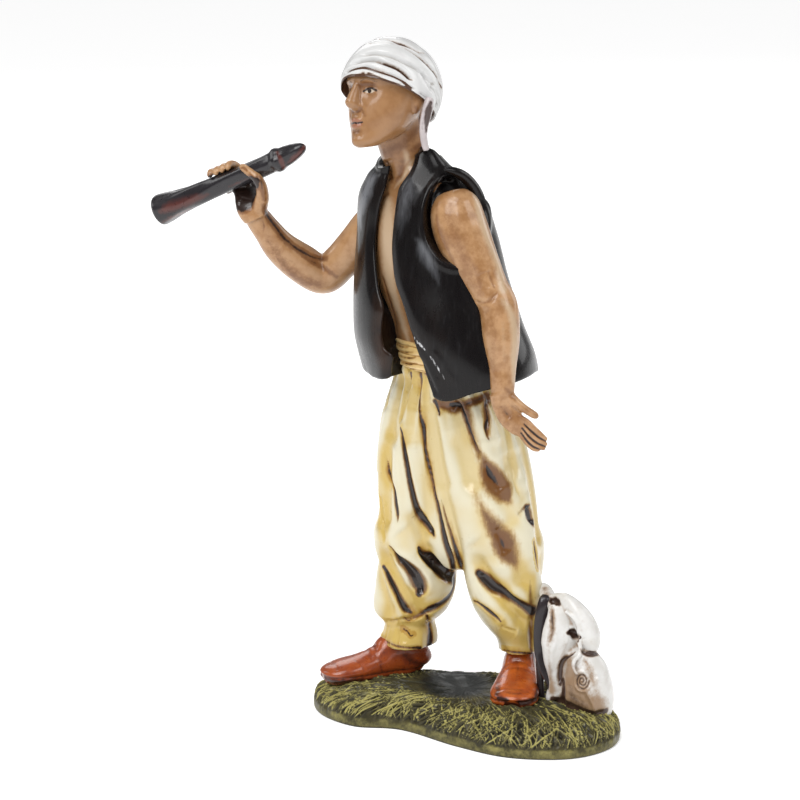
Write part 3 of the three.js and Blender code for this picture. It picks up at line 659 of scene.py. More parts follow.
# Trousers
# legs: [height, x, y, half width, half depth] from the cuff up
# folds: [degrees, height] from and to, width, depth
trousers = {
    "grain": .256, "pleats": 20,
    "paint": {"ridge": (.66, .61, .45), "cream": (.62, .50, .255), "yellow": (.56, .40, .115),
        "ochre": (.40, .22, .034), "brown": (.14, .052, .012), "dark": (.018, .011, .009)},
    "rightLeg": [
        [4.6, -12.9, .6, 4.2, 4.5], [5.6, -12.9, .7, 4.2, 4.6], [6.8, -12.7, .8, 3.8, 4.4],
        [8.2, -12.8, .7, 3.7, 4.2], [9.5, -12.9, .6, 5.3, 4.9], [11, -12.6, .9, 6.1, 5.6],
        [14, -12, 1.2, 6.2, 6.3], [21, -11.8, 1.1, 6.4, 6.6], [31, -11.2, 1.1, 6.6, 6.8],
        [40, -10.3, 1.3, 6.7, 6.7], [46, -9.2, 1.3, 6, 6.3], [50, -8.4, 1.3, 5.3, 5.7],
        [53, -8, 1.3, 5, 5.4]],
    "leftLeg": [
        [5.7, 4.1, 8.2, 3.3, 3.6], [6.6, 4.1, 8.2, 3.3, 3.6], [7.9, 3.9, 8, 3.6, 3.9],
        [9.4, 3.5, 7.6, 4.3, 4.6], [11, 3.1, 7.2, 5, 5.2], [14, 2.6, 6.7, 5.7, 5.9],
        [21, 1.9, 6.1, 6.6, 6.5], [31, .3, 5.1, 7.5, 7.2], [40, -1.6, 4.3, 7.6, 7.2],
        [46, -3.2, 3.3, 6.9, 6.7], [50, -4.8, 2.4, 5.8, 5.9], [53, -5.2, 2.1, 5.2, 5.4]],
    # seat: [height, half width, half depth]
    "seat": [
        [17.6, 1.4, 1.4], [18.4, 3.2, 3], [20.5, 5.4, 4.5], [24, 6.4, 5.3], [31, 6.8, 5.5], [40, 6.4, 5.4],
        [46, 6.4, 5.2], [53, 6, 4.8]],
    "rightFolds": [
        [-80, 40, -50, 26, 1.7, 1.1], [-22, 47, -8, 26, 1.7, 1.3], [-60, 20, 0, 11, 1.7, 1.3],
        [-6, 19, 50, 11, 1.8, 1.6], [46, 26, 86, 18, 1.7, 1.2], [150, 44, 160, 24, 1.7, 1.2],
        [-150, 44, -140, 26, 1.7, 1.2], [-120, 20, -160, 11, 1.7, 1.1]],
    "leftFolds": [
        [10, 47, 24, 34, 1.7, 1.2], [44, 36, 66, 28, 1.7, 1], [50, 26, 74, 18, 1.7, 1],
        [6, 20, 62, 12, 1.8, 1.5], [84, 46, 84, 36, 1.7, 1.1], [112, 44, 118, 24, 1.7, 1.2],
        [150, 44, 150, 26, 1.7, 1.2], [120, 20, 160, 11, 1.7, 1.1]],
    # depth, fold, then (x, y, half width, paint) along the line as the picture shows it
    "strokes": [
        (.55, .3, [(398.5, 428, .1, 1), (400, 436, .15, 1), (403, 449, .22, 1), (406, 464, .28, 1),
            (409.5, 482, .31, 1), (413.5, 498, .35, 1), (417.5, 511, .41, 1), (424.5, 522.5, .46, 1),
            (430, 531, .36, 1), (433.5, 536, .1, .9)]),
        (.35, .3, [(385, 450, .1, .1), (387.5, 470, .14, .8), (390, 480, .18, .9), (393, 491.5, .2, .95),
            (394.5, 503, .24, 1), (396, 513.5, .22, .9), (397, 524, .1, .3)]),
        (.5, .3, [(420.5, 413, .12, .8), (423, 427, .16, .9), (424.5, 443, .22, .9), (428, 464, .16, .8),
            (432, 487, .16, .8), (436, 504, .18, .85), (440.5, 525, .24, .95), (445, 544.5, .35, 1),
            (450, 558, .4, 1), (453.5, 570, .3, 1)]),
        (.8, .3, [(419.8, 548, .2, 1), (425.5, 555, .42, 1), (433.5, 562, .65, 1), (440.5, 568.5, .8, 1),
            (447.5, 574.5, .85, 1), (453.5, 578, .8, 1)]),
        (.9, .3, [(388, 545, .1, .4), (392.8, 553.5, .26, .95), (398, 560.5, .55, 1), (406, 567.5, .7, 1),
            (414, 575.5, .9, 1), (418.5, 583.5, 1, 1), (419.8, 590.5, .8, 1), (418.5, 595, .35, 1)]),
        (.6, .3, [(383.6, 567, .26, 1), (386, 574.5, .38, 1), (391, 583.5, .42, 1), (397, 594, .42, .9),
            (401.5, 603, .48, 1), (406, 609, .45, 1), (411.7, 613, .15, .9)]),
        (.3, .1, [(453.7, 574.5, .4, 1), (455, 583.5, .4, 1), (451.5, 594, .4, 1), (442.8, 603, .42, .95),
            (431, 609, .48, .95), (424, 611.5, .2, .8)]),
        (.35, .25, [(440.5, 499.5, .1, .4), (444, 515.5, .16, .6), (449.7, 533, .18, .7),
            (454.3, 548, .24, .85), (457.7, 559.5, .3, .95), (462, 571, .18, .8)]),
        (.3, .2, [(377, 494, .2, .15), (379.5, 508, .25, .25), (382, 522, .12, .3), (384, 545, .2, .2)]),
        (.5, .4, [(450, 405, .3, .9), (457, 406.5, .5, .95), (462.6, 414.5, .55, 1), (466, 425, .45, .95),
            (469, 434, .36, .85), (472.5, 443, .3, .75), (477, 453, .25, .5), (481, 461, .2, .2)]),
        (.3, .2, [(434.7, 401.5, .3, 1), (436.8, 408, .26, 1), (438.8, 415, .1, .9)]),
        (.4, .25, [(486.8, 400, .42, .75), (488, 418, .34, .75), (487, 428, .26, .8), (490, 441, .08, .6)]),
        (.45, .25, [(410.5, 373, .2, .8), (407.5, 384, .24, .65), (404, 396, .22, .45),
            (399.5, 410, .2, .4), (396.5, 422, .2, .3)]),
        (.45, .2, [(420.5, 374, .24, .85), (419, 390, .3, .8), (420, 402, .24, .7), (420.5, 413, .18, .7)]),
        (.35, .2, [(400, 366, .16, .45), (393, 377, .2, .4), (388, 392, .18, .35), (384.5, 412, .12, .3)]),
        (.2, .15, [(484, 461, .2, .2), (487, 469, .4, .8), (491.5, 477, .6, .8), (497.5, 485, .5, .6),
            (501, 491, .3, .3)]),
        (.2, .2, [(495, 529, .2, .2), (500.5, 537, .4, .6), (504, 545, .55, .7), (508, 553, .4, .4)]),
        (.5, .3, [(478.7, 573, .45, 1), (484.5, 579, .68, 1), (492.5, 586, .76, .9),
            (501.7, 591.6, .55, .9), (512, 599.7, .5, 1), (521.3, 605.5, .55, 1), (533, 611, .7, 1)]),
        (.25, .15, [(474, 600.8, .1, .9), (488, 611, .22, 1), (500.6, 621.5, .1, .9)]),
        (.7, .2, [(528.5, 508, .4, 1), (531, 515, .7, 1), (534, 523, .45, 1)]),
        (.15, .1, [(518, 515, .35, .35), (524, 510, .3, .5), (530, 506, .25, .8)]),
        (.3, [(534, 541, .07, 1), (536, 555, .09, 1), (538, 568, .06, .8)]),
        (.25, .3, [(506, 398, .2, .2), (508, 430, .3, .2), (516, 470, .3, .2), (524, 500, .2, .25)])],
    # broad soft folds with no paint in them: how deep, and their points
    "softFolds": [
        (.55, [(408, 376), (403, 392), (396, 420), (391, 445)]),
        (.5, [(414, 378), (411, 400), (411, 425), (414, 450)]),
        (.5, [(430, 402), (434, 430), (438, 460), (446, 492)]),
        (.55, [(452, 430), (462, 465), (476, 500), (486, 540), (500, 570)]),
        (.5, [(494, 440), (505, 465), (517, 490), (528, 512)]),
        (.45, [(470, 540), (482, 556), (500, 572), (520, 590)]),
        (.4, [(378, 470), (377, 500), (380, 530)]), (.4, [(398, 530), (412, 548), (430, 575)]),
        (.4, [(512, 450), (520, 480), (530, 500)])],
    "lowStrokes": [
        # brown shadow under the waistcoat
        (.1, .1, [(438, 405, .3, .5), (448, 406.5, .45, .6), (460, 406, .5, .62), (472, 402, .5, .6),
            (486, 396, .5, .6)]),
        # ankles: gathers, cracks in the paint, dark hems, and painted shade down the back edge of the right
        # cuff
        (.3, .3, [(380, 622, .2, .3), (390, 622, .25, .35), (402, 621, .3, .4), (414, 618, .3, .5),
            (424, 612, .3, .8)]),
        (.1, [(403, 629, .05, .9), (408, 632, .07, 1), (411, 636, .06, 1), (414, 634, .05, .8)]),
        (.1, [(405, 619, .05, .7), (409, 622, .07, .8), (413, 619, .05, .7)]),
        (.2, .1, [(388, 625, .1, .2), (386, 634, .15, .3), (383, 641, .1, .2)]),
        (.2, .15, [(398, 622, .1, .15), (399, 632, .15, .2), (400, 645, .1, .2)]),
        # painted shade at the back edge of the right cuff
        (.2, .1, [(427, 616, .2, .8), (430, 626, .3, .7), (431, 638, .5, .95), (430, 646, .5, 1)]),
        (.2, [(377, 637, .1, .6), (384, 641, .14, .7), (396, 646, .14, .7), (409, 648, .14, .7),
            (420, 648, .25, .9)]),
        (.25, .2, [(500, 626, .1, .1), (508, 630, .15, .25), (518, 632, .1, .1)]),
        (.25, .2, [(530, 616, .2, .4), (531, 632, .3, .55), (532, 652, .3, .6)]),
        (.15, [(504, 650, .1, .7), (512, 652, .14, .8), (522, 653, .14, .8), (534, 654, .2, .9)]),
        [(530, 580, .3, .35), (531, 600, .5, .5), (532, 625, .5, .5), (532, 648, .4, .5)]],
    # where the cream is painted yellow as shade, and where it is painted pale as light: (x, y, half width,
    # strength)
    "yellowShade": [
        [(398, 366, 1, .8), (410, 372, 1, .8), (421, 378, 1, .8)],
        [(390, 378, 1.2, .8), (385, 395, 1.2, .7), (381, 415, 1.2, .6)],
        [(387, 430, 1.5, .6), (379, 470, 2, .8), (377, 520, 2, .8), (384, 560, 2.5, .8)],
        [(400, 385, 1, .7), (402, 410, 1.4, .8), (400, 435, 1, .5)],
        [(512, 410, 1.5, .5), (524, 450, 2, .6), (534, 500, 2, .8), (537, 550, 2, .8), (532, 600, 3, .9)],
        [(480, 560, 2, .5), (500, 580, 3, .8), (520, 610, 3, .9)],
        [(395, 590, 3, .9), (420, 600, 3, .9)],
        [(390, 630, 4, 1), (420, 632, 4, 1)],
        [(505, 630, 3, 1), (525, 640, 3, 1)]],
    "paintedLight": [
        [(436, 420, 1.5, .7), (440, 455, 2.5, 1), (448, 495, 2.8, 1), (462, 535, 2.5, .9),
            (478, 565, 1.5, .5)],
        [(468, 470, 2, .8), (476, 500, 2, .8), (490, 560, 2, .7)],
        [(394, 440, 1.2, .6), (400, 480, 1.8, .8), (408, 520, 1.8, .8), (400, 545, 1.5, .6)],
        [(498, 440, 1.5, .6), (515, 480, 1.8, .7), (520, 540, 1.8, .7)]],
    # patches of brown dragged with a dry brush; the last three lie along the waistcoat's hem as painted
    # shadow
    "brownPatchesAndShadow": [
        [(478, 450, .5, .4), (484, 461, .8, .55), (488, 470, 1.1, .85), (494, 480, 1.4, .95),
            (500.5, 488, 1.5, .9), (505.5, 497, 1.2, .7), (509, 502, .7, .4)],
        [(474, 492, .7, .3), (480, 506, .9, .4), (488, 520, 1.1, .55), (495, 530, 1.2, .7),
            (502, 540, 1.4, .85), (506, 549, 1.4, .85), (511, 558, 1.2, .65), (517, 567, .8, .35)],
        [(440, 404, .5, .8), (450, 406.5, .8, .85), (459, 407, .9, .9), (464.5, 415, .8, .8),
            (468, 428, .8, .6), (473, 445, .8, .5), (479, 460, .7, .4)],
        [(487, 396, .6, .8), (487.5, 410, .6, .7), (488.5, 424, .5, .5), (490, 436, .3, .3)],
        [(466, 404, .5, .7), (476, 401, .5, .7), (485, 397, .5, .6)]],
    # plainer folds where the picture doesn't show: leg, depth, fold, (degrees, height, half width, paint)
    "hidden": [
        ["rightLeg", .5, .3, [(-150, 54, .15, .8), (-146, 42, .3, 1), (-140, 33, .15, .9)]],
        ["rightLeg", .4, .3, [(-100, 52, .12, .7), (-104, 40, .26, .9), (-96, 30, .12, .8)]],
        ["rightLeg", .6, .3, [(-170, 29, .3, 1), (-140, 22, .7, 1), (-110, 18, .3, 1)]],
        ["rightLeg", .4, .3, [(168, 48, .12, .7), (160, 38, .25, .9), (150, 28, .12, .8)]],
        ["leftLeg", .5, .3, [(156, 56, .15, .8), (158, 45, .3, 1), (160, 35, .15, .9)]],
        ["leftLeg", .4, .3, [(180, 52, .12, .7), (176, 42, .28, .9), (180, 31, .15, .8)]],
        ["leftLeg", .6, .3, [(150, 26, .3, 1), (164, 21, .7, 1), (186, 17, .3, 1)]],
        ["leftLeg", .3, .3, [(206, 50, .12, .6), (200, 38, .22, .8), (196, 28, .12, .7)]]],
}


def foldRelief(folds, angle, height):
    # Folds pressed into a leg, on a sheet unrolled at this radius
    perDegree = math.radians(6.5)
    total = 0
    for startTurn, startHeight, endTurn, endHeight, width, depth in folds:
        runX = ((endTurn - startTurn + 540) % 360 - 180) * perDegree
        runZ = endHeight - startHeight
        hereX = ((angle - startTurn + 540) % 360 - 180) * perDegree
        hereZ = height - startHeight
        share = np.clip((hereX * runX + hereZ * runZ) / (runX**2 + runZ**2), 0, 1)
        gap = (hereX - share * runX)**2 + (hereZ - share * runZ)**2
        total = total - depth * np.exp(-gap / width**2)
    return total


def trouserLeg(stations, folds):
    def relief(turn, share, centre):
        height = (centre[..., 2] - body["moundTop"]) / unit
        angle = np.degrees(turn) + 90
        high, low = smoothstep(height, 34, 50), 1 - smoothstep(height, 5, 9)
        uneven = np.sin(3 * turn + 1) + 0.7 * np.sin(7 * turn + height * 0.2) + 0.5 * np.sin(12 * turn + 2)
        pleats = np.abs(np.sin((turn + 0.1 * np.sin(2 * turn)) * trousers["pleats"] / 2))
        gathers = 0.75 * high * (1 - pleats) + 0.17 * low * uneven
        return unit * (foldRelief(folds, angle, height) - gathers)
    return tube([(x, y, z, wide, deep) for z, x, y, wide, deep in stations], 200, 220,
                axis=(0, 0, 1), power=2.1, relief=relief)


def makeTrousers():
    seat = []
    for height, wide, deep in trousers["seat"]:
        down = (53 - height) / 35
        seat.append((-6.5 + 1.3 * down, 1.8 + 1.9 * down, height, wide, deep))
    form = cast([
        trouserLeg(trousers["rightLeg"], trousers["rightFolds"]),
        trouserLeg(trousers["leftLeg"], trousers["leftFolds"]),
        tube(seat, 80, 100, side=(0.94, 0.34, 0), axis=(0, 0, 1)),
    ], trousers["grain"], 5)
    tree = form.tree()
    soft = [(0.0, fold, [(x, y, 0.1, 0) for x, y in points]) for fold, points in trousers["softFolds"]]
    for strokes in (trousers["strokes"], soft, trousers["lowStrokes"]):
        brush(form, tree, strokes)
    for name in ("brownPatchesAndShadow", "yellowShade", "paintedLight"):
        brush(form, tree, trousers[name], name=name)
    middles = {"rightLeg": at(-11.5, 1.1, 0), "leftLeg": at(1.0, 5.5, 0)}
    for leg, depth, fold, places in trousers["hidden"]:
        strokeOn(form, roundLine(tree, middles[leg], places), depth, fold)
    settle(form)
    form.marks["valley"] = form.hollows(160, 1.0)
    # the lower legs are painted yellower, with more ochre
    form.marks["low"] = smoothstep(26 - form.points[:, 2], 0, 16)
    finishPiece(form, "trousers", trouserPaint(), 22, 0.5)


def trouserPaint():
    # Cream on the folds and paler on their ridges as painted highlight, yellow and ochre down in them as wash
    # and painted shade, and dark brown pulled along the deepest
    paint = Paint("trouser paint", trousers["paint"])
    broad = paint.noise(11, 3)
    fine = paint.noise(1.1, 5, 0.7)
    drag = paint.noise(1.3, 4, 0.65, (1, 1, 0.25))
    hairs = paint.noise(0.5, 3, 0.6, (1, 1, 0.14))
    valley, warm, low = (paint.mark(name) for name in ("valley", "warm", "low"))
    paint.start("ridge", "cream", (valley + (broad - 0.5) * 0.7).ramp(-0.35, 0.12))
    # yellow laid as painted shade, and pale as painted light, where strokes say
    tint = paint.mark("yellowShade") * 0.75 - paint.mark("paintedLight") * 0.8
    paint.lay("yellow", (valley * 0.9 + warm * 0.8 + low * 0.4 + broad + tint - 0.5).ramp(0.0, 0.8))
    paint.lay("ochre", (warm * 0.9 + valley * 0.5 + low * 0.3 + (drag - 0.5) * 0.9).ramp(0.5, 1.1) * 0.9)
    dry = paint.mark("brownPatchesAndShadow") + (hairs - 0.5) * 0.2 + (drag - 0.5) * 0.2 + (fine - 0.5) * 0.3
    paint.lay("ochre", dry.ramp(0.1, 0.42) * 0.75)
    paint.lay("brown", dry.ramp(0.24, 0.56) * 0.95)
    wash = paint.mark("wash") + (drag - 0.5) * 0.25 + (hairs - 0.5) * 0.15 + (fine - 0.5) * 0.1
    paint.lay("brown", wash.ramp(0.2, 0.5) * 0.92)
    paint.lay("dark", wash.ramp(0.48, 0.66))
    paint.lay("brown", paint.noise(0.9, 1, 0.4).ramp(0.74, 0.8) * (warm + low * 0.3) * 0.5)
    return paint.finish(0.3 + (fine - 0.5) * 0.2, fine * 0.4 + broad, 0.06)


# Sash
sash = {
    "low": 50.3, "high": 53.9, "bands": 6,
    "lines": [
        [(396, 344, .08, .7), (401, 346.5, .1, 1), (408, 347.5, .07, .6)],
        [(399, 350.5, .06, .6), (406, 352.5, .1, 1), (413, 352, .06, .6)],
        [(398, 355, .07, .6), (404, 357.5, .1, .9), (411, 358, .1, 1), (416, 357, .06, .5)],
        [(401, 362, .06, .6), (409, 364, .1, 1), (417, 363.5, .07, .6)],
        [(402, 367, .08, .8), (408, 369, .09, .8), (415, 369, .06, .5)],
        [(406, 371.5, .08, .8), (413, 373, .1, .9), (419, 372, .06, .5)]],
    "paint": {
        "light": (.78, .57, .27), "deep": (.70, .46, .15), "shade": (.42, .22, .06),
        "wash": (.07, .025, .01), "thinWash": (.45, .24, .07), "worn": (.84, .70, .42), "patch": 2.5,
        "wear": .6, "washAt": (.5, .85),
    },
}


def makeSash():
    low, high, bands = sash["low"], sash["high"], sash["bands"]

    def relief(turn, share, centre):
        wander = share + 0.03 * np.sin(turn) + 0.012 * np.sin(3 * turn + 1)
        return 0.34 * unit * np.abs(np.sin(bands * math.pi * wander))**0.6 - 0.2

    form = tube([
        (-6.1, 2.0, low - 0.6, 7.2, 5.8), (-6.2, 1.9, low, 8.2, 6.5), (-6.4, 1.7, (low + high) / 2, 8.3, 6.5),
        (-6.6, 1.6, high, 8.3, 6.4), (-6.7, 1.5, high + 0.5, 7.4, 5.6)], 280, 62, axis=(0, 0, 1),
        relief=relief)
    brush(form, form.tree(), sash["lines"], 0.8, 0.12, lips=0)
    settle(form, 0)
    finishPiece(form, "sash", brushedPaint("sash paint", sash["paint"]), 12, 0.18)


# Skin: chest, neck and head
skinLook = {
    "light": (.325, .168, .072), "deep": (.235, .105, .036), "shade": (.12, .045, .014),
    "wash": (.022, .011, .008), "worn": (.42, .26, .14), "thinWash": (.125, .042, .011),
    "washAt": (.5, .85), "thinAt": (.03, .42),
    # second: a paler skin, laid as painted light on the chest, neck and arms
    "second": (.48, .34, .215), "patch": 2.4, "uneven": 1, "wear": .5, "roughness": .36, "specks": .08,
    "bump": .04, "ragged": .6,
    "lips": (.30, .105, .06), "white": (.52, .43, .33), "iris": (.02, .01, .008),
}
armLook = dict(skinLook, light=(0.44, 0.25, 0.12), deep=(0.34, 0.17, 0.068), thinWash=(0.16, 0.058, 0.017),
               shade=(0.15, 0.06, 0.02))
leftArmLook = dict(armLook, deep=(0.29, 0.14, 0.052), thinWash=(0.19, 0.078, 0.025), thinAt=(0.07, 0.55))
# torso and neck: (x, y, z, half width, half depth)
chest = {
    "torso": [
        (-6.2, 2.2, 49, 7.2, 5.6), (-6.6, 1.5, 54, 7.9, 6), (-7.2, 1, 57, 8, 6), (-8.4, -.4, 62, 8.7, 6.5),
        (-9.2, -.5, 67, 9, 6.7), (-9.5, -.4, 72, 9.4, 6.5), (-9.9, -.5, 76.5, 8, 5),
        (-10.4, -1.2, 79.6, 4.6, 3.8), (-10.7, -1.6, 81, 3.4, 3.2)],
    "neck": [
        (-10.2, -.6, 77, 4.6, 4), (-10.9, -1.6, 81, 3.7, 3.7), (-11.7, -2.6, 85, 3.5, 3.7),
        (-12.3, -3, 89.5, 3.8, 4.2)],
    # light and shade brushed on the chest, neck and cheek: depth, fold, (x, y, half width, paint)
    "wash": [
        (.25, .3, [(376, 195, .4, .5), (374.5, 215, .5, .5), (373, 240, .5, .45), (372, 262, .4, .5),
            (374, 285, .4, .5)]),
        (.2, .2, [(375, 285, .3, .3), (381, 302, .4, .5), (388, 318, .4, .5), (394, 335, .35, .5)]),
        (.18, .15, [(381, 275, .15, .2), (386, 292, .2, .4), (391, 308, .2, .45), (397, 330, .15, .3)]),
        (.2, .3, [(384, 160, .2, .2), (388, 170, .3, .4), (391, 181, .3, .5)]),
        (.1, .2, [(402, 160, .4, .3), (401, 168, .5, .4), (397, 180, .4, .4)]),
        (.1, .1, [(376, 192, .3, .5), (382, 196, .3, .4), (389, 193, .2, .3)]),
        [(360, 150, .6, .2), (374, 154, .9, .38), (392, 150, .9, .4), (408, 140, .8, .4), (418, 128, .5, .4)],
        [(416, 108, .3, .4), (419, 118, .3, .45), (420, 130, .3, .5), (422, 142, .4, .5)],
        [(412, 150, .5, .35), (418, 146, .4, .5), (422, 143, .3, .5)]],
    # painted light: paler skin down the chest and on the neck
    "paintedLight": [
        [(388, 202, .8, .8), (387.5, 225, 1.1, 1), (387.5, 250, 1.2, 1), (389, 275, 1, 1),
            (395, 300, .8, .9), (403, 325, .8, .8), (408, 340, .5, .7)],
        [(380.5, 158, .2, .3), (384, 170, .3, .7), (388, 183, .2, .5)],
        [(413, 160, .3, .5), (407, 170, .4, .9), (399, 182, .3, .7), (394, 189, .2, .4)],
        [(404, 150, .4, .5), (407, 158, .5, .7), (404, 166, .3, .4)]],
}
# The head's own frame has x to its left, y to its back and z up
head = {
    "unit": 1.08 * unit, "centre": at(-12.1, -4.3, 90.9), "turn": (-12, -9, -2), "grain": .21, "jaw": .75,
    # skull: [height, front, back, half width]
    "skull": [
        [-7.2, -4.9, -2.4, 1.5], [-6.5, -5.8, -.8, 2.6], [-5, -5.8, 1.7, 3.6], [-3.5, -6, 3.1, 4.25],
        [-1.8, -6, 4.8, 4.75], [.4, -6, 6.1, 5.1], [1.8, -6.5, 6.2, 5.1], [4, -5.2, 5, 4.1]],
    # nose and ear: (x, y, z, half width, half depth)
    "nose": [
        (0, -5.5, 1.6, .5, .7), (0, -5.9, .3, .6, .9), (0, -6.4, -1, .75, 1.1), (0, -6.6, -1.8, .98, 1.25),
        (0, -6.2, -2.4, .9, .95), (0, -5.6, -2.7, .4, .4)],
    "ear": [(4.5, .7, -2.7, .3, .3), (4.8, .9, -1.9, .45, .8), (5, 1.1, -.6, .5, 1.1),
        (4.8, 1.2, .8, .4, .8)],
    # round forms: (x, y, z, half width, half depth, half height)
    "eyeball": (2.05, -4.35, -.1, 1, .95, .85), "nostril": (.72, -5.75, -2.1, .5, .62, .45),
    "lips": [(0, -5.75, -3.75, 1.35, .62, .36), (0, -5.7, -4.4, 1.15, .62, .42)],
    "chin": (0, -5, -6.1, 1.5, 1.15, 1),
    # lines, across and up: mark, half width, paint, depth, lips, points; the first ones are on both sides
    "pairs": [
        ("ink", .12, .8, -.15, 0, [(1, -.22), (1.45, .14), (2.1, .2), (2.75, -.12)]),
        ("ink", .1, .35, -.1, 0, [(1.1, -.3), (1.8, -.52), (2.5, -.3)]),
        ("ink", .16, .5, -.12, 0, [(.95, 1.1), (1.8, 1.42), (3, 1.05)]),
        # the wash lines are painted shade: beside the nose, under the brows and under the nostrils
        ("wash", .2, .3, .12, .2, [(.95, -2.35), (1.5, -3.3)]),
        ("wash", .35, .45, .1, .2, [(.7, .5), (1.3, .75), (2.4, .7)]),
        ("wash", .12, .7, .1, 0, [(.35, -2.75), (.75, -2.7)])],
    "middle": [
        ("ink", .1, .8, .16, 0, [(-1.15, -4), (-.5, -4.1), (0, -4.04), (.5, -4.1), (1.15, -4)]),
        # painted shade under the lower lip
        ("wash", .25, .3, .12, 0, [(-.7, -4.95), (0, -5.05), (.7, -4.95)])],
}


def headAxes():
    x, y, z = (math.radians(v) for v in head["turn"])
    turnX = np.array([[1, 0, 0], [0, math.cos(x), -math.sin(x)], [0, math.sin(x), math.cos(x)]])
    turnY = np.array([[math.cos(y), 0, math.sin(y)], [0, 1, 0], [-math.sin(y), 0, math.cos(y)]])
    turnZ = np.array([[math.cos(z), -math.sin(z), 0], [math.sin(z), math.cos(z), 0], [0, 0, 1]])
    return turnZ @ turnY @ turnX


headFrame = headAxes()


def onHead(x, y, z):
    return headFrame @ (np.array([x, y, z]) * head["unit"]) + head["centre"]


def inHead(points):
    return (points - head["centre"]) @ headFrame / head["unit"]


def ball(x, y, z, wide, deep, tall):
    # An egg with its poles along the head's upright
    scale, up = head["unit"], headFrame[:, 2]
    centre = onHead(x, y, z)
    stations = []
    for share in np.linspace(-0.995, 0.995, 13):
        girth = math.sqrt(1 - share * share)
        stations.append([centre + up * (tall * scale) * share, wide * scale * girth, deep * scale * girth])
    return swept(stations, 24, 24, side=headFrame[:, 0], axis=up)


def headRow(x, y, z, wide, deep):
    return [onHead(x, y, z), wide * head["unit"], deep * head["unit"]]


def torsoForms():
    def dip(turn, share, centre):
        # the hollow down the middle of the chest
        front = np.exp(-((turn - 1.5 * math.pi) / 0.22)**2)
        return -0.5 * unit * front * smoothstep(share, 0.3, 0.6)

    torso = tube(chest["torso"], 120, 120, axis=(0, 0, 1), power=2.2, relief=dip)
    # The back and the side under the waistcoat are never seen, so they lie closer in
    torso.points[:, 0] = np.minimum(torso.points[:, 0], at(-4.2, 0, 0)[0])
    below = torso.points[:, 2] < at(0, 0, 74)[2]
    torso.points[:, 1] = np.minimum(torso.points[:, 1], np.where(below, 2.5, 99.0))
    return [torso, tube(chest["neck"], 80, 60)]


def headForms():
    def sockets(turn, share, centre):
        front = turn - 1.5 * math.pi
        above = (centre - head["centre"]) @ headFrame[:, 2] / head["unit"]
        return -0.62 * head["unit"] * np.exp(-((np.abs(front) - 0.42) / 0.2)**2 - ((above + 0.1) / 0.9)**2)

    across, up = headFrame[:, 0], headFrame[:, 2]
    skull = [headRow(0, (front + back) / 2, z, wide, (back - front) / 2)
             for z, front, back, wide in head["skull"]]
    forms = [
        swept(skull, 140, 120, side=across, axis=up, power=2.15, relief=sockets),
        swept([headRow(*row) for row in head["nose"]], 32, 40, side=across, axis=up)]
    for sign in (-1, 1):
        for name in ("eyeball", "nostril"):
            x, *rest = head[name]
            forms.append(ball(sign * x, *rest))
        forms.append(swept([headRow(sign * x, *rest) for x, *rest in head["ear"]], 24, 24, side=across))
    return forms + [ball(*lip) for lip in head["lips"]] + [ball(*head["chin"])]


def faceLine(tree, points, width, strength):
    # A line given across and up in the head's own frame, laid on the face from the front
    smooth = evenly(points, 0.12)
    smooth[:, 1] -= head["jaw"] * smoothstep(-smooth[:, 1], 0.5, 6.5)
    origins = np.array([onHead(x, -12, z) for x, z in smooth])
    count = len(smooth)
    return lieOn(tree, origins, np.tile(headFrame[:, 1], (count, 1)), np.tile([width, strength], (count, 1)))


def makeSkin():
    form = cast(torsoForms() + headForms(), head["grain"], 3)
    # The lower face is drawn narrower and longer
    rest = inHead(form.points)
    ahead = smoothstep(-rest[:, 1], 1.5, 6.2) * smoothstep(rest[:, 2], -9.5, -7.5)
    low = smoothstep(-rest[:, 2], 0.5, 6.5)
    local = rest * np.stack([1 - ahead * (0.06 + 0.2 * low), 0 * low + 1, 0 * low + 1], 1)
    local[:, 2] -= head["jaw"] * ahead * low
    form.points = (local * head["unit"]) @ headFrame.T + head["centre"]
    tree = form.tree()
    lines = [(*how, [(sign * x, z) for x, z in points]) for sign in (-1, 1) for *how, points in head["pairs"]]
    for name, width, strength, depth, lips, points in lines + head["middle"]:
        strokeOn(form, faceLine(tree, points, width, strength), depth, name=name, lips=lips)
    brush(form, tree, chest["wash"], lips=0.1)
    brush(form, tree, chest["paintedLight"], name="second", lips=0)
    settle(form)
    local = np.column_stack([inHead(form.points)[:, :2], rest[:, 2]])
    front = local[:, 1] < -3
    # Painted eyes and lips
    white, lips, iris = (form.mark(name) for name in ("white", "lips", "iris"))
    for sign in (-1, 1):
        over = ((local[:, 0] - sign * 1.85) / 0.78)**2 + ((local[:, 2] + 0.17) / 0.3)**2
        white[:] = np.maximum(white, front * (1 - smoothstep(over, 0.75, 1.05)))
        pupil = np.hypot(local[:, 0] - sign * 1.8, local[:, 2] + 0.12)
        iris[:] = np.maximum(iris, front * (1 - smoothstep(pupil, 0.3, 0.42)))
    mouth = (local[:, 0] / 1.25)**2 + ((local[:, 2] + 4.1) / 0.62)**2
    lips[:] = front * (1 - smoothstep(mouth, 0.7, 1.1))
    finishPiece(form, "skin", facePaint(), 14, 0.3)


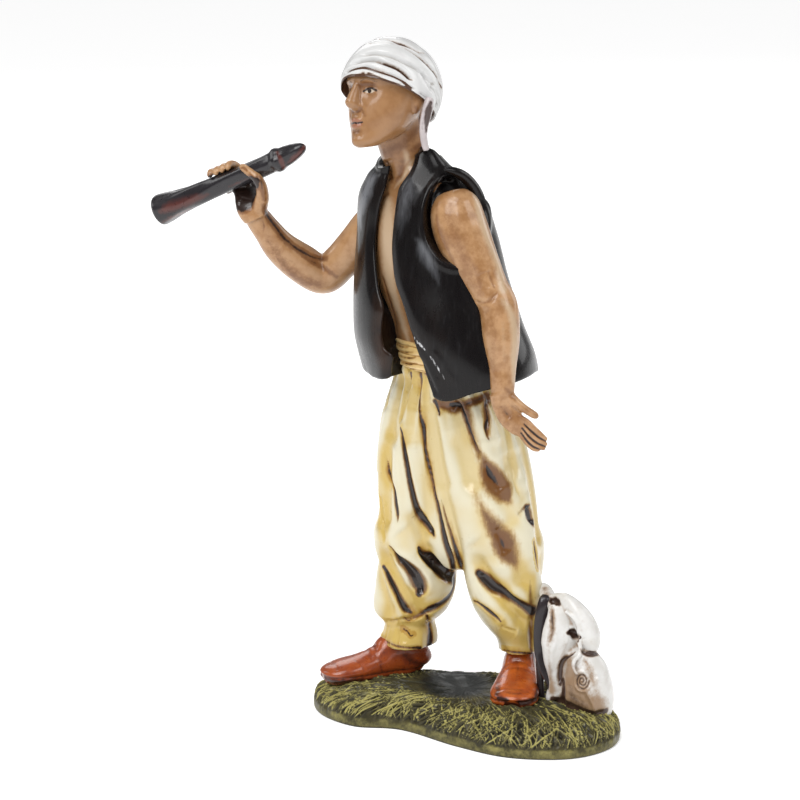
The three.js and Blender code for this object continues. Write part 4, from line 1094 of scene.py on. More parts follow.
def facePaint():
    # Skin with the eyes and lips painted on it
    look = skinLook
    paint = Paint("skin paint", look)
    broad = paint.noise(look["patch"], 3)
    fine = paint.noise(plainPaint["grain"], 5, 0.7)
    hollow = paint.mark("hollow")
    paint.start("light", "deep", broad.ramp(0.35, 0.7) * 0.6)
    # painted shade in the hollows
    paint.lay("shade", hollow.ramp(0.02, 0.6) * (0.5 + fine * 0.9))
    # a lighter colour on the raised parts: wear, and painted highlight
    paint.lay("worn", (1 - hollow.ramp(-0.8, -0.1)) * 0.5)
    paint.lay("lips", paint.mark("lips") * 0.7)
    for name in ("white", "iris"):
        paint.lay(name, paint.mark(name).ramp(0.3, 0.7))
    # paler skin where strokes lay it, as painted light
    paint.lay("second", (paint.mark("second") + (fine - 0.5) * 0.5).ramp(0.2, 0.8))
    # wash, and painted shade where strokes lay it under the jaw, in the eye sockets and beside the nose
    wash = paint.mark("wash") + (fine - 0.5) * 0.5
    paint.lay("thinWash", wash.ramp(0.02, 0.5) * 0.8)
    paint.lay("wash", wash.ramp(0.5, 0.8) * 0.7)
    paint.lay("wash", paint.mark("ink").ramp(0.25, 0.6))
    return paint.finish(look["roughness"] + (fine - 0.5) * 0.2, fine + broad * 0.5, look["bump"])


# Waistcoat
# shell: [height, centre x, y, half width, half depth]; its edges and hem follow lines of the picture
waistcoat = {
    "wall": 1.2, "fill": .55, "around": 236, "steps": 118,
    "shell": [
        [46.6, -5.6, 2.4, 14.5, 12], [50, -6.2, 2, 14.6, 12.1], [54, -6.9, 1.5, 14.3, 12],
        [59, -7.6, 1, 13.5, 11.4], [64, -8.4, .8, 12.7, 10.4], [70, -9, .6, 11.9, 9.2],
        [75, -9.5, .0, 11.2, 7.8], [78, -9.9, -.6, 9, 6.4], [80.2, -10.3, -1.2, 6.4, 5.3],
        [81.8, -10.7, -1.6, 4.9, 4.8]],
    "leftEdge": [(424, 148), (413, 168), (405, 178), (397.5, 187.5), (394, 206.7), (390.8, 233),
        (390, 253), (393, 281.7), (403, 306.7), (411.7, 336.7), (421.7, 373), (430, 396.7), (433, 404)],
    "rightEdge": [(386, 158), (384, 168), (380.5, 188), (375, 203), (370.5, 226.7), (369.5, 246.7),
        (371, 270), (374.5, 296.7), (385, 315), (391, 340), (393.5, 365), (391, 380), (387, 390)],
    "hem": [(355, 372), (366, 373.5), (370, 378.5), (380, 380), (387, 379), (394, 369), (398, 366),
        (426, 393), (430, 398), (435, 401.7), (446.7, 403), (456.7, 401.7), (470, 396.7), (488, 391.7),
        (505, 387), (520, 382), (533, 377), (540, 372)],
    # the armhole on the near side: its middle and half sizes in the picture, how deep the cloth lies in it
    # and how far its lip stands out
    "armhole": (455, 219, 32.5, 47), "sunk": 3.4, "lip": .45,
    # its rim behind the arm: x, y, how far behind the middle
    "rim": [(444, 169, -1), (454, 171.5, .2), (464, 177, 1.6), (473, 187, 2.6), (479, 200, 3.2),
        (481.5, 214, 3.6), (483, 228, 3.6), (484, 242, 3.2)],
    # folds, brush marks, and painted glints: depth, fold, (x, y, half width, paint)
    "recess": [
        (.22, .2, [(404, 330, .3, 0), (420, 362, .3, 0), (438, 398, .25, 0)]),
        (.18, .1, [(410, 331, .2, 0), (424, 352, .22, 0), (440, 382, .2, 0)]),
        (-.15, [(432, 350, .2, 0), (446, 372, .2, 0), (458, 388, .2, 0)])],
    "glints": [
        [(410, 332, .06, .4), (414, 339, .09, .8), (420, 346, .16, 1), (425, 351, .1, .7)],
        [(427, 353, .08, .5), (433, 361, .14, .8), (441, 374, .1, .7), (448, 384, .06, .4)],
        [(413, 341, .05, .3), (421, 364, .06, .5), (432, 386, .07, .5), (438, 395, .05, .3)],
        [(440, 350, .04, .2), (452, 368, .05, .35), (461, 380, .04, .2)],
        [(436, 186, .05, .3), (440, 180, .12, .9), (443, 177, .06, .4)],
        [(429, 196, .05, .4), (431, 190, .08, .7)]],
    # painted sheen: grey laid on the black where reflections show
    "rubbed": [
        [(378, 175, .8, .4), (371, 180, 1.5, .9), (366, 190, 1.6, 1), (362, 203, 1.3, 1),
            (360, 216, .9, .9), (361, 228, .4, .6)],
        [(412, 176, 1.2, .3), (408, 190, 1.6, .5), (404, 205, 1.5, .45), (401, 222, 1.2, .35),
            (398, 240, .8, .2)],
        [(417, 239, .4, .4), (422, 247, .8, .65), (428, 258, .9, .65), (434, 270, .7, .5),
            (439, 284, .4, .3)]],
    "brown": [
        [(381, 300, 1.2, .5), (383, 330, 1.6, .75), (382, 362, 1.6, .75)],
        [(375, 295, .6, .4), (374, 330, .9, .5)]],
    "paint": {
        "black": (.004, .003, .0032), "brownBlack": (.007, .0045, .004), "brown": (.035, .018, .011),
        "hairs": (.016, .015, .016), "rubbed": (.17, .175, .19), "glints": (.55, .55, .56),
        "gloss": {"coat": .3, "coatRoughness": .12, "specular": .14},
    },
}


def rowEdge(centre, half, height, line, side):
    # The angle at which a row of the shell meets a line of the picture, per row
    turns = np.radians(side * np.linspace(-6, 110, 240))
    line = np.asarray(line, float)
    found = []
    for (x, y), (wide, deep), z in zip(centre, half, height):
        points = np.stack([x + wide * np.sin(turns), y - deep * np.cos(turns), z + 0 * turns], 1)
        seen = onPicture(points)
        gap = np.abs(seen[:, 0] - np.interp(seen[:, 1], line[:, 1], line[:, 0]))
        # the far side turns out of sight, so the first crossing counts
        found.append(abs(turns[np.nonzero(gap < gap.min() + 0.5)[0][0]]))
    return np.convolve(np.pad(np.degrees(found), 3, "edge"), np.ones(7) / 7, "valid")[:, None]


def makeWaistcoat():
    around, steps = waistcoat["around"], waistcoat["steps"]
    shell = spline(waistcoat["shell"], np.linspace(0, 1, steps + 1))
    height, centreX, centreY, halfX, halfY = (shell[:, k:k + 1] for k in range(5))
    centre, half = shell[:, 1:3] * unit, shell[:, 3:5] * unit
    level = body["moundTop"] + shell[:, 0] * unit
    edgeLeft = rowEdge(centre, half, level, waistcoat["leftEdge"], 1)
    edgeRight = rowEdge(centre, half, level, waistcoat["rightEdge"], -1)
    # How far the lowest row is raised, so that the hem lies on its line of the picture
    seenTurns = np.linspace(-42, 128, 80)
    turns = np.radians(seenTurns)
    low = onPicture(np.stack([centre[0, 0] + half[0, 0] * np.sin(turns),
                              centre[0, 1] - half[0, 1] * np.cos(turns),
                              level[0] + 0 * turns], 1))
    hem = np.array(waistcoat["hem"], float)
    rise = low[:, 1] - np.interp(low[:, 0], hem[:, 0], hem[:, 1])
    rise = rise * picture["distance"] / picture["focal"] / unit
    rise = np.convolve(np.pad(rise, 2, "edge"), np.ones(5) / 5, "valid")

    def sheet(share, wall, fill):
        turn = np.radians(edgeLeft + (360 - edgeRight - edgeLeft) * share)
        degrees = (np.degrees(turn) + 180) % 360 - 180
        flare = 1 - smoothstep(height, 46.6, 58)
        wave = 0.3 * flare * np.sin(5 * turn + 1)
        lift = flare * np.interp(degrees, [-120, *seenTurns, 165], [2.2, *rise, 2.2])
        collar = smoothstep(height, 78.5, 81.8)
        raised, lowered = np.exp(-((degrees - 82) / 26)**2), np.exp(-((degrees + 25) / 40)**2)
        lift = lift + collar * (1.7 * raised - 1.6 * lowered)
        x = ((halfX + wave) * unit - wall) * (1 - fill)
        y = ((halfY + wave) * unit - wall) * (1 - fill)
        return np.stack([
            centreX * unit + x * np.sin(turn), centreY * unit - y * np.cos(turn),
            body["moundTop"] + (height + lift) * unit + 0 * turn], -1)

    shares = np.linspace(0, 1, around)[None]
    wall = waistcoat["wall"]
    # The edges turn in a little, so that they read as thick and rolled
    rolled = 0.5 * np.exp(-(np.minimum(shares, 1 - shares) * 260 / 3.2)**2)
    outer = sheet(shares, rolled, 0)
    inside = smoothstep(0.5 - np.abs(shares - 0.5), 0.02, 0.12)
    inner = sheet(shares[:, ::-1], wall, waistcoat["fill"] * inside)
    edgeEnd = sheet(np.array([[1.0]]) + 0.004, wall / 2 + 0.2, 0)
    edgeStart = sheet(np.array([[0.0]]) - 0.004, wall / 2 + 0.2, 0)
    rings = np.concatenate([outer, edgeEnd, inner, edgeStart], 1)
    form = loft(rings)
    # The cap at the hem and the collar joins the cloth to the lining, face by face
    sides = rings.shape[1]
    strip = np.arange(around - 1)
    low = np.stack([strip, 2 * around - strip, 2 * around - 1 - strip, strip + 1], 1)
    form.caps = [[around - 1, around, around + 1], [0, 2 * around, 2 * around + 1]]
    top = steps * sides
    form.caps += [[top + around - 1, top + around + 1, top + around],
                  [top, top + 2 * around + 1, top + 2 * around]]
    form.quads = np.vstack([form.quads, low, top + low[:, ::-1]])
    middleX, middleY, wideX, tallY = waistcoat["armhole"]
    seen = onPicture(form.points)
    ring = np.hypot((seen[:, 0] - middleX) / wideX, (seen[:, 1] - middleY) / tallY)
    outward = form.points[:, :2] - at(-9.2, 0.3, 0)[:2]
    near = smoothstep(unitary(outward) @ -viewAhead[:2], 0.0, 0.35)
    lip = waistcoat["lip"] * np.exp(-((ring - 1.04) / 0.07)**2)
    step = lip - waistcoat["sunk"] * smoothstep(1 - ring, 0.0, 0.3)
    form.points[:, :2] += unitary(outward) * (near * step)[:, None]
    tree = form.tree()
    brush(form, tree, waistcoat["recess"], lips=0.1)
    brush(form, tree, waistcoat["glints"], 0.8, 0.05, name="glints", lips=0)
    for name in ("brown", "rubbed"):
        brush(form, tree, waistcoat[name], name=name, lips=0)
    settle(form, 2)
    rim = [inPicture(*row) for row in waistcoat["rim"]]
    thick = 1 - 0.7 * np.abs(np.linspace(-1, 1, len(rim)))**3
    roll = swept([[p, r, 1.2 * r] for p, r in zip(rim, thick)], 24, 90, side=(0.3, -0.3, 0.9))
    trimmed = joined([form, roll])
    extra = len(trimmed.points) - len(form.points)
    trimmed.marks = {name: np.append(values, np.zeros(extra)) for name, values in form.marks.items()}
    finishPiece(trimmed, "waistcoat", waistcoatPaint(), 10, 0.3)


def waistcoatPaint():
    # Black with a brown cast under a thin varnish, drawn downwards with a coarse brush
    paint = Paint("waistcoat paint", waistcoat["paint"])
    broad = paint.noise(7, 3)
    fine = paint.noise(plainPaint["grain"], 5, 0.7)
    hairs = paint.noise(0.7, 3, 0.6, (1, 1, 0.12))
    paint.start("black", "brownBlack", broad.ramp(0.4, 0.7))
    paint.lay("brown", paint.mark("brown").ramp(0.1, 0.8) * 0.8)
    paint.lay("hairs", hairs.ramp(0.55, 0.8) * 0.6)
    # painted sheen
    paint.lay("rubbed", (paint.mark("rubbed") + (hairs - 0.5) * 0.4).ramp(0.12, 1.0))
    # painted glints
    paint.lay("glints", (paint.mark("glints") + (fine - 0.5) * 0.9).ramp(0.35, 0.75))
    return paint.finish(0.3 + (hairs - 0.5) * 0.3 + (fine - 0.5) * 0.1, hairs * 0.6 + broad, 0.035)


# Arms and hands
# hand stations: (x, y) in the picture, how far behind the middle, half width and half depth
hands = {
    "grain": .185,
    # arms: (x, y, z, half width, half depth) from the shoulder down
    "leftArm": [
        (-2, -1.4, 76.9, 1.8, 2.4), (-1, -1.7, 75.2, 3.2, 3.7), (.1, -1.6, 71.9, 3.6, 4.1),
        (2, -1.2, 68, 3.2, 3.8), (4.5, -.4, 63.6, 2.6, 3.1), (6.2, .1, 60.6, 2.7, 3),
        (7.3, -.4, 56.2, 2.5, 2.8), (8.1, -1, 51.6, 1.7, 2.1), (8.6, -1.3, 48.6, 1.4, 1.75),
        (9, -1.2, 46.9, .9, 1.2)],
    "rightArm": [
        (-17.8, -.8, 71.4, 3.2, 3.2), (-19.6, -1.2, 69.2, 3.2, 3.3), (-21.8, -2, 66.6, 2.9, 3.1),
        (-24, -3.1, 64.1, 2.8, 2.9), (-26.4, -4.5, 61.9, 2.8, 2.9), (-28.2, -7.4, 63.9, 2.8, 3),
        (-29.6, -10.3, 66.5, 2.4, 2.6), (-30.4, -12.2, 69.1, 2, 2.2), (-31.3, -13.9, 71.8, 1.8, 1.9),
        (-31.7, -14.3, 73, 1.1, 1.3)],
    "leftPalm": [
        (499, 392, -8, 1.7, 1.6), (501.5, 400, -8.1, 1.85, 1.4), (505, 409, -8.3, 1.95, 1.15),
        (510, 417, -8.5, 2, .95), (516, 424.5, -8.7, 1.75, .8), (521.5, 430, -8.8, 1.35, .6),
        (525, 433, -8.8, .9, .4)],
    "leftThumb": [
        (504, 388, -7.8, 1.3, 1.2), (508.5, 396, -8.2, 1.15, 1.1), (516, 402.5, -8.6, .86, .9),
        (524, 408.5, -8.9, .72, .75), (531, 413, -9, .68, .7), (536, 416, -9, .6, .6),
        (538.5, 417.4, -9, .25, .3)],
    "leftFingers": [
        [(520, 418, -8.7, .6), (527, 421.5, -8.9, .5), (534, 428.5, -9.1, .5), (541, 435, -8.9, .48),
            (546.5, 440, -8.5, .4)],
        [(518, 422, -8.7, .6), (525, 427, -8.9, .48), (531, 434, -9.1, .48), (538.5, 440.5, -8.9, .46),
            (546.8, 445, -8.5, .38)],
        [(516, 426, -8.7, .6), (523, 431.5, -8.9, .48), (529, 439, -9.1, .48), (536.5, 445.5, -8.9, .45),
            (545, 449, -8.6, .36)],
        [(514, 429, -8.7, .6), (521, 435.5, -8.8, .46), (527, 443, -9, .45), (533, 448.5, -8.9, .42),
            (539.5, 450.5, -8.7, .33)]],
    "rightPalm": [
        (257, 218, 13.3, 2.3, 2), (254, 212, 13.3, 2.6, 1.8), (251.5, 206, 13.6, 2.7, 1.6),
        (249, 200, 14.3, 2.5, 1.3), (246.5, 193, 15.4, 2.2, 1.1), (243, 186, 16.6, 2.1, 1),
        (239, 179, 17.4, 2.1, .9), (235, 173, 17.6, 1.9, .8)],
    "rightThumb": [
        (241, 165.3, 12.1, .3, .3), (242.4, 166.6, 11.8, .62, .6), (247, 170, 11.1, .76, .75),
        (252.5, 174, 10.5, .84, .85), (258, 179.5, 10.1, .92, .95), (261.5, 187, 10.5, 1, 1.05),
        (262.5, 196, 11.5, 1.15, 1.2), (260.5, 205, 12.4, 1.4, 1.35), (257.5, 213, 13, 1.6, 1.4)],
    # where each finger lies along the pipe, from the grip
    "rightFingers": [-3.1, -1.8, -.5, .8],
    "finger": .72,
}
pipe = {
    "length": 31.5, "radius": 1.75, "bell": 2.85, "tip": 1, "bore": 1.6, "grip": .5,
    "start": at(-45.7, -20.9, 71.6), "axis": unitary([23.7, 8.8, 11.2]),
    # (share of the length, share of the radius) from inside the bell to the tip: the bell, the stick, the tip
    "bellGirth": [
        (.035, .66), (0, .78), (-.002, .84), (.004, .93), (.015, .96), (.05, .91), (.12, .78)],
    "stickGirth": [
        (.22, 1.12), (.36, 1), (.55, .98), (.72, .99), (.78, 1), (.795, 1.1), (.808, 1.2), (.826, 1.2),
        (.838, 1.1), (.848, 1.02), (.88, .98), (.92, .86), (.955, .7), (.98, .52)],
    "tipGirth": [(.993, .6), (1, .3)],
    # where the red shows through the brown, and a ridge and a groove: (x, y, half width, paint)
    "reddish": [
        [(160, 212, .4, .6), (166, 209, .7, .8), (178, 205, .9, .75), (196, 199, .8, .7), (210, 194, .4, .5)],
        [(163, 222, .5, .5), (174, 217, .7, .7), (190, 209, .5, .6)],
        [(226, 188, .2, .4), (240, 182, .3, .6), (252, 177, .2, .4)],
        [(287, 163, .3, .5), (294, 158, .45, .8), (301, 152, .35, .7)],
        [(284, 168, .3, .9), (281, 160, .35, .9), (277, 152, .25, .7)],
        [(301, 150, .3, .7), (305, 147, .4, .9), (306, 143, .3, .7)]],
    "carved": [
        (-.12, [(262, 171, .3, 0), (270, 168, .35, 0)]), (.12, .0, [(232, 192, .3, 0), (248, 184, .3, 0)])],
    "paint": {
        "light": (.016, .014, .017), "deep": (.01, .008, .01), "shade": (.006, .004, .004),
        "wash": (.005, .004, .004), "thinWash": (.006, .004, .004), "worn": (.045, .03, .032),
        "second": (.085, .022, .017), "patch": 2.5, "wear": .5, "roughness": .3,
    },
}
pipeUp = unitary(np.array([0, 0, 1]) - pipe["axis"] * pipe["axis"][2])
pipeNear = np.cross(pipe["axis"], pipeUp)


def onPipe(along, near, up):
    return pipe["start"] + pipe["axis"] * along + pipeNear * near + pipeUp * up


def placedSweep(rows, sides, steps, power=2.0):
    return swept([[inPicture(*row[:3]), row[3], row[-1]] for row in rows],
                 sides, steps, side=viewRight, power=power)


def digit(points, radius):
    # A finger through its joints, with a round tip
    last, before = points[-1], points[-2]
    ahead = unitary(last - before)
    sizes = [radius * (1.06 - 0.06 * k) for k in range(len(points) - 1)] + [radius * 0.72]
    stations = list(zip(points, sizes))
    stations.append((last + ahead * radius * 0.5, radius * 0.5))
    stations.append((last + ahead * radius * 0.7, radius * 0.2))
    return swept(stations, 18, 30, side=(0.6, -0.7, 0.3))


# Light and shade brushed on the arms: depth, fold, (x, y, half width, paint)
armStrokes = {
    "leftWash": [
        (.1, .1, [(448, 200, .5, .2), (452, 225, 1, .38), (462, 255, 1.1, .36), (474, 285, .8, .3)]),
        (.14, .1, [(475, 301, .1, .2), (482, 303, .2, .4), (490, 300, .25, .45), (497, 292, .12, .3)]),
        (.1, .1, [(488, 270, .1, .2), (491, 278, .2, .5), (494, 287, .15, .4)]),
        [(455, 190, .5, .3), (462, 186, .6, .45), (470, 190, .4, .3)],
        [(437, 205, .25, .4), (437, 222, .35, .5), (443, 240, .35, .5), (452, 258, .35, .45),
            (464, 290, .3, .35)],
        (.0, .1, [(487, 305, .5, .2), (492, 330, .8, .34), (493, 355, .7, .28), (494, 378, .5, .3)]),
        [(470, 262, .5, .3), (478, 276, .6, .45), (480, 290, .5, .3)],
        (.05, [(505, 388, .2, .4), (511, 394, .4, .6), (515, 400, .25, .4)]),
        [(500, 408, .4, .3), (508, 410, .5, .4), (516, 415, .5, .4), (524, 421, .4, .4)],
        [(510, 427, .6, .3), (516, 430, .7, .35), (521, 434, .4, .3)],
        (.12, .1, [(500, 406, .25, .3), (505, 412, .4, .65), (511, 418, .35, .55)]),
        (.2, [(526, 417.5, .2, 1), (532, 421, .35, 1.5), (539, 425, .35, 1.5), (542, 428, .2, 1)]),
        (.1, [(524, 424, .06, 1.2), (531, 431, .08, 1.5), (539, 437.5, .08, 1.5), (547, 442, .06, 1.2)]),
        (.1, [(522, 428, .06, 1.5), (529, 436.5, .08, 1.6), (537, 443, .08, 1.6), (546, 447, .06, 1.2)]),
        (.1, [(521, 433, .06, 1.5), (527, 441, .08, 1.6), (533, 446.5, .08, 1.6), (541, 450, .06, 1.2)])],
    "leftPale": [
        (-.12, [(464.6, 183.5, .4, .5), (475, 194, .7, .9), (480.5, 216, .8, .9), (487, 238, .8, .8),
            (497, 262, .8, .8), (503, 290, .7, .8)]),
        (-.12, [(503, 300, .6, .6), (511.5, 315, .7, .8), (515, 336, .7, .9), (514, 357, .6, .9),
            (514, 381, .5, .8)]),
        [(499, 306, .5, .2), (503, 330, .7, .4), (504, 360, .6, .4)]],
    "rightWash": [
        (.05, [(257, 175, .15, .3), (261, 181, .4, .75), (262.5, 190, .35, .6), (265, 200, .3, .4)]),
        (.1, .1, [(264, 205, .3, .6), (268, 215, .4, .9), (276, 226, .45, .9), (284, 237, .45, .9),
            (294, 246, .4, .8)]),
        (.12, .1, [(290, 243, .4, .8), (303, 251.5, .4, .9), (314, 257, .35, .8), (326, 259, .3, .6)]),
        (.1, [(300, 252, .3, .5), (312, 261, .3, .7), (324, 268, .3, .6), (336, 277, .25, .4)]),
        [(268, 240, .5, .25), (282, 262, .7, .35), (300, 280, .8, .4), (318, 285, .6, .4)],
        (.3, [(236, 198, .8, 2.2), (241, 195, 1.1, 2.2), (247, 191, 1.3, 2.2), (252, 187, 1, 2.2),
            (255, 184, .5, 2)]),
        (.2, [(238, 203, .8, 2), (243, 202, 1, 2.2), (247, 197, 1, 2.2)]),
        [(230, 194, .7, 2), (240, 189, 1.3, 2.4), (250, 184, 1.2, 2.4), (256, 181, .4, 1.8)],
        [(206, 179, .3, 1), (212, 177, .4, 1.3), (219, 175, .35, 1.3), (227, 172, .3, 1.1),
            (236, 169, .25, 1)],
        [(234, 206, .3, .4), (240, 208, .5, .5), (247, 205, .4, .5)],
        (.08, [(240.5, 168, .06, .5), (244, 168, .12, .8), (247, 171, .06, .5)]),
        (.1, [(262.5, 220, .05, .3), (264, 226, .1, .5), (263.5, 231, .05, .3)])],
}


def finishArm(form, side, look):
    tree = form.tree()
    # wash and painted shade, then painted light on the pale side
    brush(form, tree, armStrokes[side + "Wash"], 1.0, lips=0.1)
    brush(form, tree, armStrokes.get(side + "Pale", []), name="second", lips=0)
    settle(form)
    finishPiece(form, side + "Arm", brushedPaint(side + " arm paint", look), 14, 0.3)


def makeLeftArm():
    form = cast([
        tube(hands["leftArm"], 64, 140, side=(0.7, -0.7, 0)),
        placedSweep(hands["leftPalm"], 36, 50, 2.2), placedSweep(hands["leftThumb"], 24, 40),
        *(placedSweep(finger, 16, 34) for finger in hands["leftFingers"])], hands["grain"], 2)
    finishArm(form, "left", leftArmLook)


def makeRightArm():
    gripAt = pipe["grip"] * pipe["length"]
    clear = pipe["radius"] + hands["finger"] * 0.6
    fingers = []
    for along in hands["rightFingers"]:
        along += gripAt
        fingers.append(digit([
            onPipe(along + 0.9, -clear * 0.9, -clear * 0.8), onPipe(along + 0.4, -clear * 1.15, 0.3),
            onPipe(along + 0.1, -clear * 0.75, clear * 1.0), onPipe(along, 0.1, clear * 1.22),
            onPipe(along - 0.1, 0.9, clear * 1.0)], hands["finger"]))
    form = cast([
        tube(hands["rightArm"], 64, 150, side=(0.7, -0.7, 0)),
        placedSweep(hands["rightPalm"], 40, 60, 2.2), placedSweep(hands["rightThumb"], 28, 60), *fingers],
        hands["grain"], 2)
    finishArm(form, "right", armLook)


def makePipe():
    length, radius, bell, tip = (pipe[k] for k in ("length", "radius", "bell", "tip"))
    bore = pipe["bore"] / length
    profile = [(bore, 0.02), (bore, 0.02), (bore * 0.8, bell * 0.5)]
    for girths, size in ((pipe["bellGirth"], bell), (pipe["stickGirth"], radius), (pipe["tipGirth"], tip)):
        profile += [(share, size * girth) for share, girth in girths]
    profile = np.array(profile + [(1.001, 0.02)])
    shares = np.linspace(0, 1, 150)
    numbers = np.arange(len(profile))
    place, girth = (np.interp(shares * (len(profile) - 1), numbers, column) for column in profile.T)
    turn = np.arange(60) / 60 * 2 * math.pi
    # A carved stick, not quite round: shallow flats that wander along it
    outside = smoothstep(shares, 0.22, 0.3)[:, None]
    flats = np.sin(3 * turn + 9 * place[:, None]) + np.sin(5 * turn[None] - 14 * place[:, None] + 2)
    wide = girth[:, None] * (1 + outside * 0.035 * flats)
    bent = 0.5 * smoothstep(place, 0.84, 1.1)[:, None, None] * pipeUp
    rings = (pipe["start"] + pipe["axis"] * (place * length)[:, None, None] + bent
             + pipeUp * (wide * np.cos(turn)[None])[..., None]
             - pipeNear * (wide * np.sin(turn)[None])[..., None])
    form = loft(rings[:, ::-1])
    tree = form.tree()
    brush(form, tree, pipe["reddish"], name="second")
    brush(form, tree, pipe["carved"])
    settle(form, 0)
    finishPiece(form, "pipe", brushedPaint("pipe paint", pipe["paint"]), 8, 0.2)


# Turban
turban = {
    "wide": 6.15, "deep": 7.7, "tall": 7.3, "centre": (.2, .7), "hinge": (8.4, -3.8), "brim": 21,
    "bands": 6, "sides": 180, "steps": 190, "arch": .8, "forehead": .55,
    # the rings under the brim: how far out each lies, and how steeply they rise
    "under": (.85, .9, .945, .975, .992), "rise": 15,
    # creases between the wraps on the near side: depth, fold, (x, y, half width, paint)
    "creases": [
        (.41, .53, [(341, 75, .15, .1), (348, 69.5, .2, .1), (361, 66, .2, .15), (369, 67, .2, .4),
            (378, 70, .22, .6), (388, 73.3, .2, .5), (397, 76.5, .2, .2), (408, 83.5, .2, .1),
            (419, 92, .15, .1)]),
        (.57, .57, [(350, 63.5, .15, .05), (363, 59, .2, .1), (374.5, 58.5, .25, .3),
            (385.6, 62.5, .18, .8), (399, 68, .18, .85), (409, 76, .14, .8), (413, 80, .1, .5)]),
        (.38, .53, [(358, 54.5, .15, .05), (374.5, 52, .2, .08), (391, 54.7, .2, .05),
            (408, 62.5, .2, .05), (422, 71, .2, .05), (430, 83.5, .2, .1), (434, 94, .15, .1)]),
        (.49, .46, [(366.7, 43.4, .15, .3), (380, 40.8, .22, .5), (396.7, 42.5, .22, .6),
            (410, 49, .2, .8), (422, 58, .18, 1), (432, 68, .18, 1), (439, 77.5, .18, 1),
            (441.7, 87, .2, .8)]),
        (.35, .42, [(377, 38, .15, .4), (388, 38, .2, .8), (401, 41.5, .2, 1), (412, 46.5, .15, .8),
            (424, 53, .12, .5)]),
        (.30, .19, [(402, 81, .12, .5), (408, 85.2, .16, .8), (414.5, 90, .1, .4)]),
        (.34, .38, [(433, 84, .2, .1), (437, 92, .22, .3), (438.5, 101, .22, .45), (436.5, 108, .15, .3)]),
        (.30, .38, [(424, 73, .15, .05), (431, 79.5, .2, .1), (437, 85, .15, .1)]),
        (.27, .28, [(419, 92, .15, .1), (427, 98.5, .2, .15), (433, 106, .2, .2), (434.5, 116, .15, .3)]),
        [(369, 68, .3, .3), (380, 70.5, .5, .42), (391, 73.6, .25, .35)]],
    # the dark line under the brim, painted shade where it meets the forehead, and spots of wash above it
    "brimLine": [(339.5, 94, .3, 1), (344, 86.5, .42, 1), (352, 81, .4, 1), (363, 77.5, .34, 1),
        (372, 76.8, .25, 1), (383, 81, .25, .9), (395, 88, .32, 1), (405, 94.5, .32, 1),
        (414, 100.5, .2, .8)],
    "spots": [[(347, 80.5, .2, .6), (351, 78.5, .3, .8)], [(358, 75.5, .2, .6), (363, 73.8, .25, .8)],
        [(368, 73.4, .2, .7), (372, 73.8, .15, .6)], [(393, 83.5, .2, .6), (398, 86, .3, .9)],
        [(401, 88.2, .2, .8), (404, 90, .2, .6)]],
    "paint": {
        "light": (.66, .66, .655), "deep": (.57, .565, .555), "shade": (.36, .33, .30),
        "thinWash": (.42, .30, .21), "wash": (.075, .032, .015), "worn": (.76, .76, .755), "patch": 3,
        "wear": .6, "roughness": .4, "specks": .03, "uneven": .5, "ragged": .5, "shading": .8,
        "washAt": (.3, .6), "thinAt": (.14, .6),
    },
    # the loose end: (x, y) in the picture, how far behind the middle, half width and half depth
    "tailGrain": .16,
    "tail": [
        (429.5, 99, 1.5, .75, 1.2), (428, 107, .9, .85, 1.1), (426, 116, .7, .85, .9),
        (424, 126, .8, .75, .8), (423.5, 135, 1.2, .65, .8), (424.5, 143, 1.6, .6, .8),
        (426.5, 150, 1.8, .55, .7)],
    # painted shade down the hollow of the hanging end, and a fold line
    "tailStrokes": [
        (.35, [(431, 103, .3, .8), (429.5, 112, .5, 1.1), (428, 122, .45, 1), (426.5, 131, .25, .6)]),
        (.2, [(424.5, 112, .08, .3), (422.5, 122, .1, .4), (422, 132, .08, .3)])],
}
# the hanging end: the turban's cloth painted darker grey, as painted shade
turban["tailPaint"] = dict(
    turban["paint"], light=(0.52, 0.47, 0.47), deep=(0.38, 0.33, 0.33), worn=(0.66, 0.64, 0.65),
    shade=(0.12, 0.09, 0.09), thinWash=(0.18, 0.13, 0.13), wash=(0.06, 0.035, 0.03))


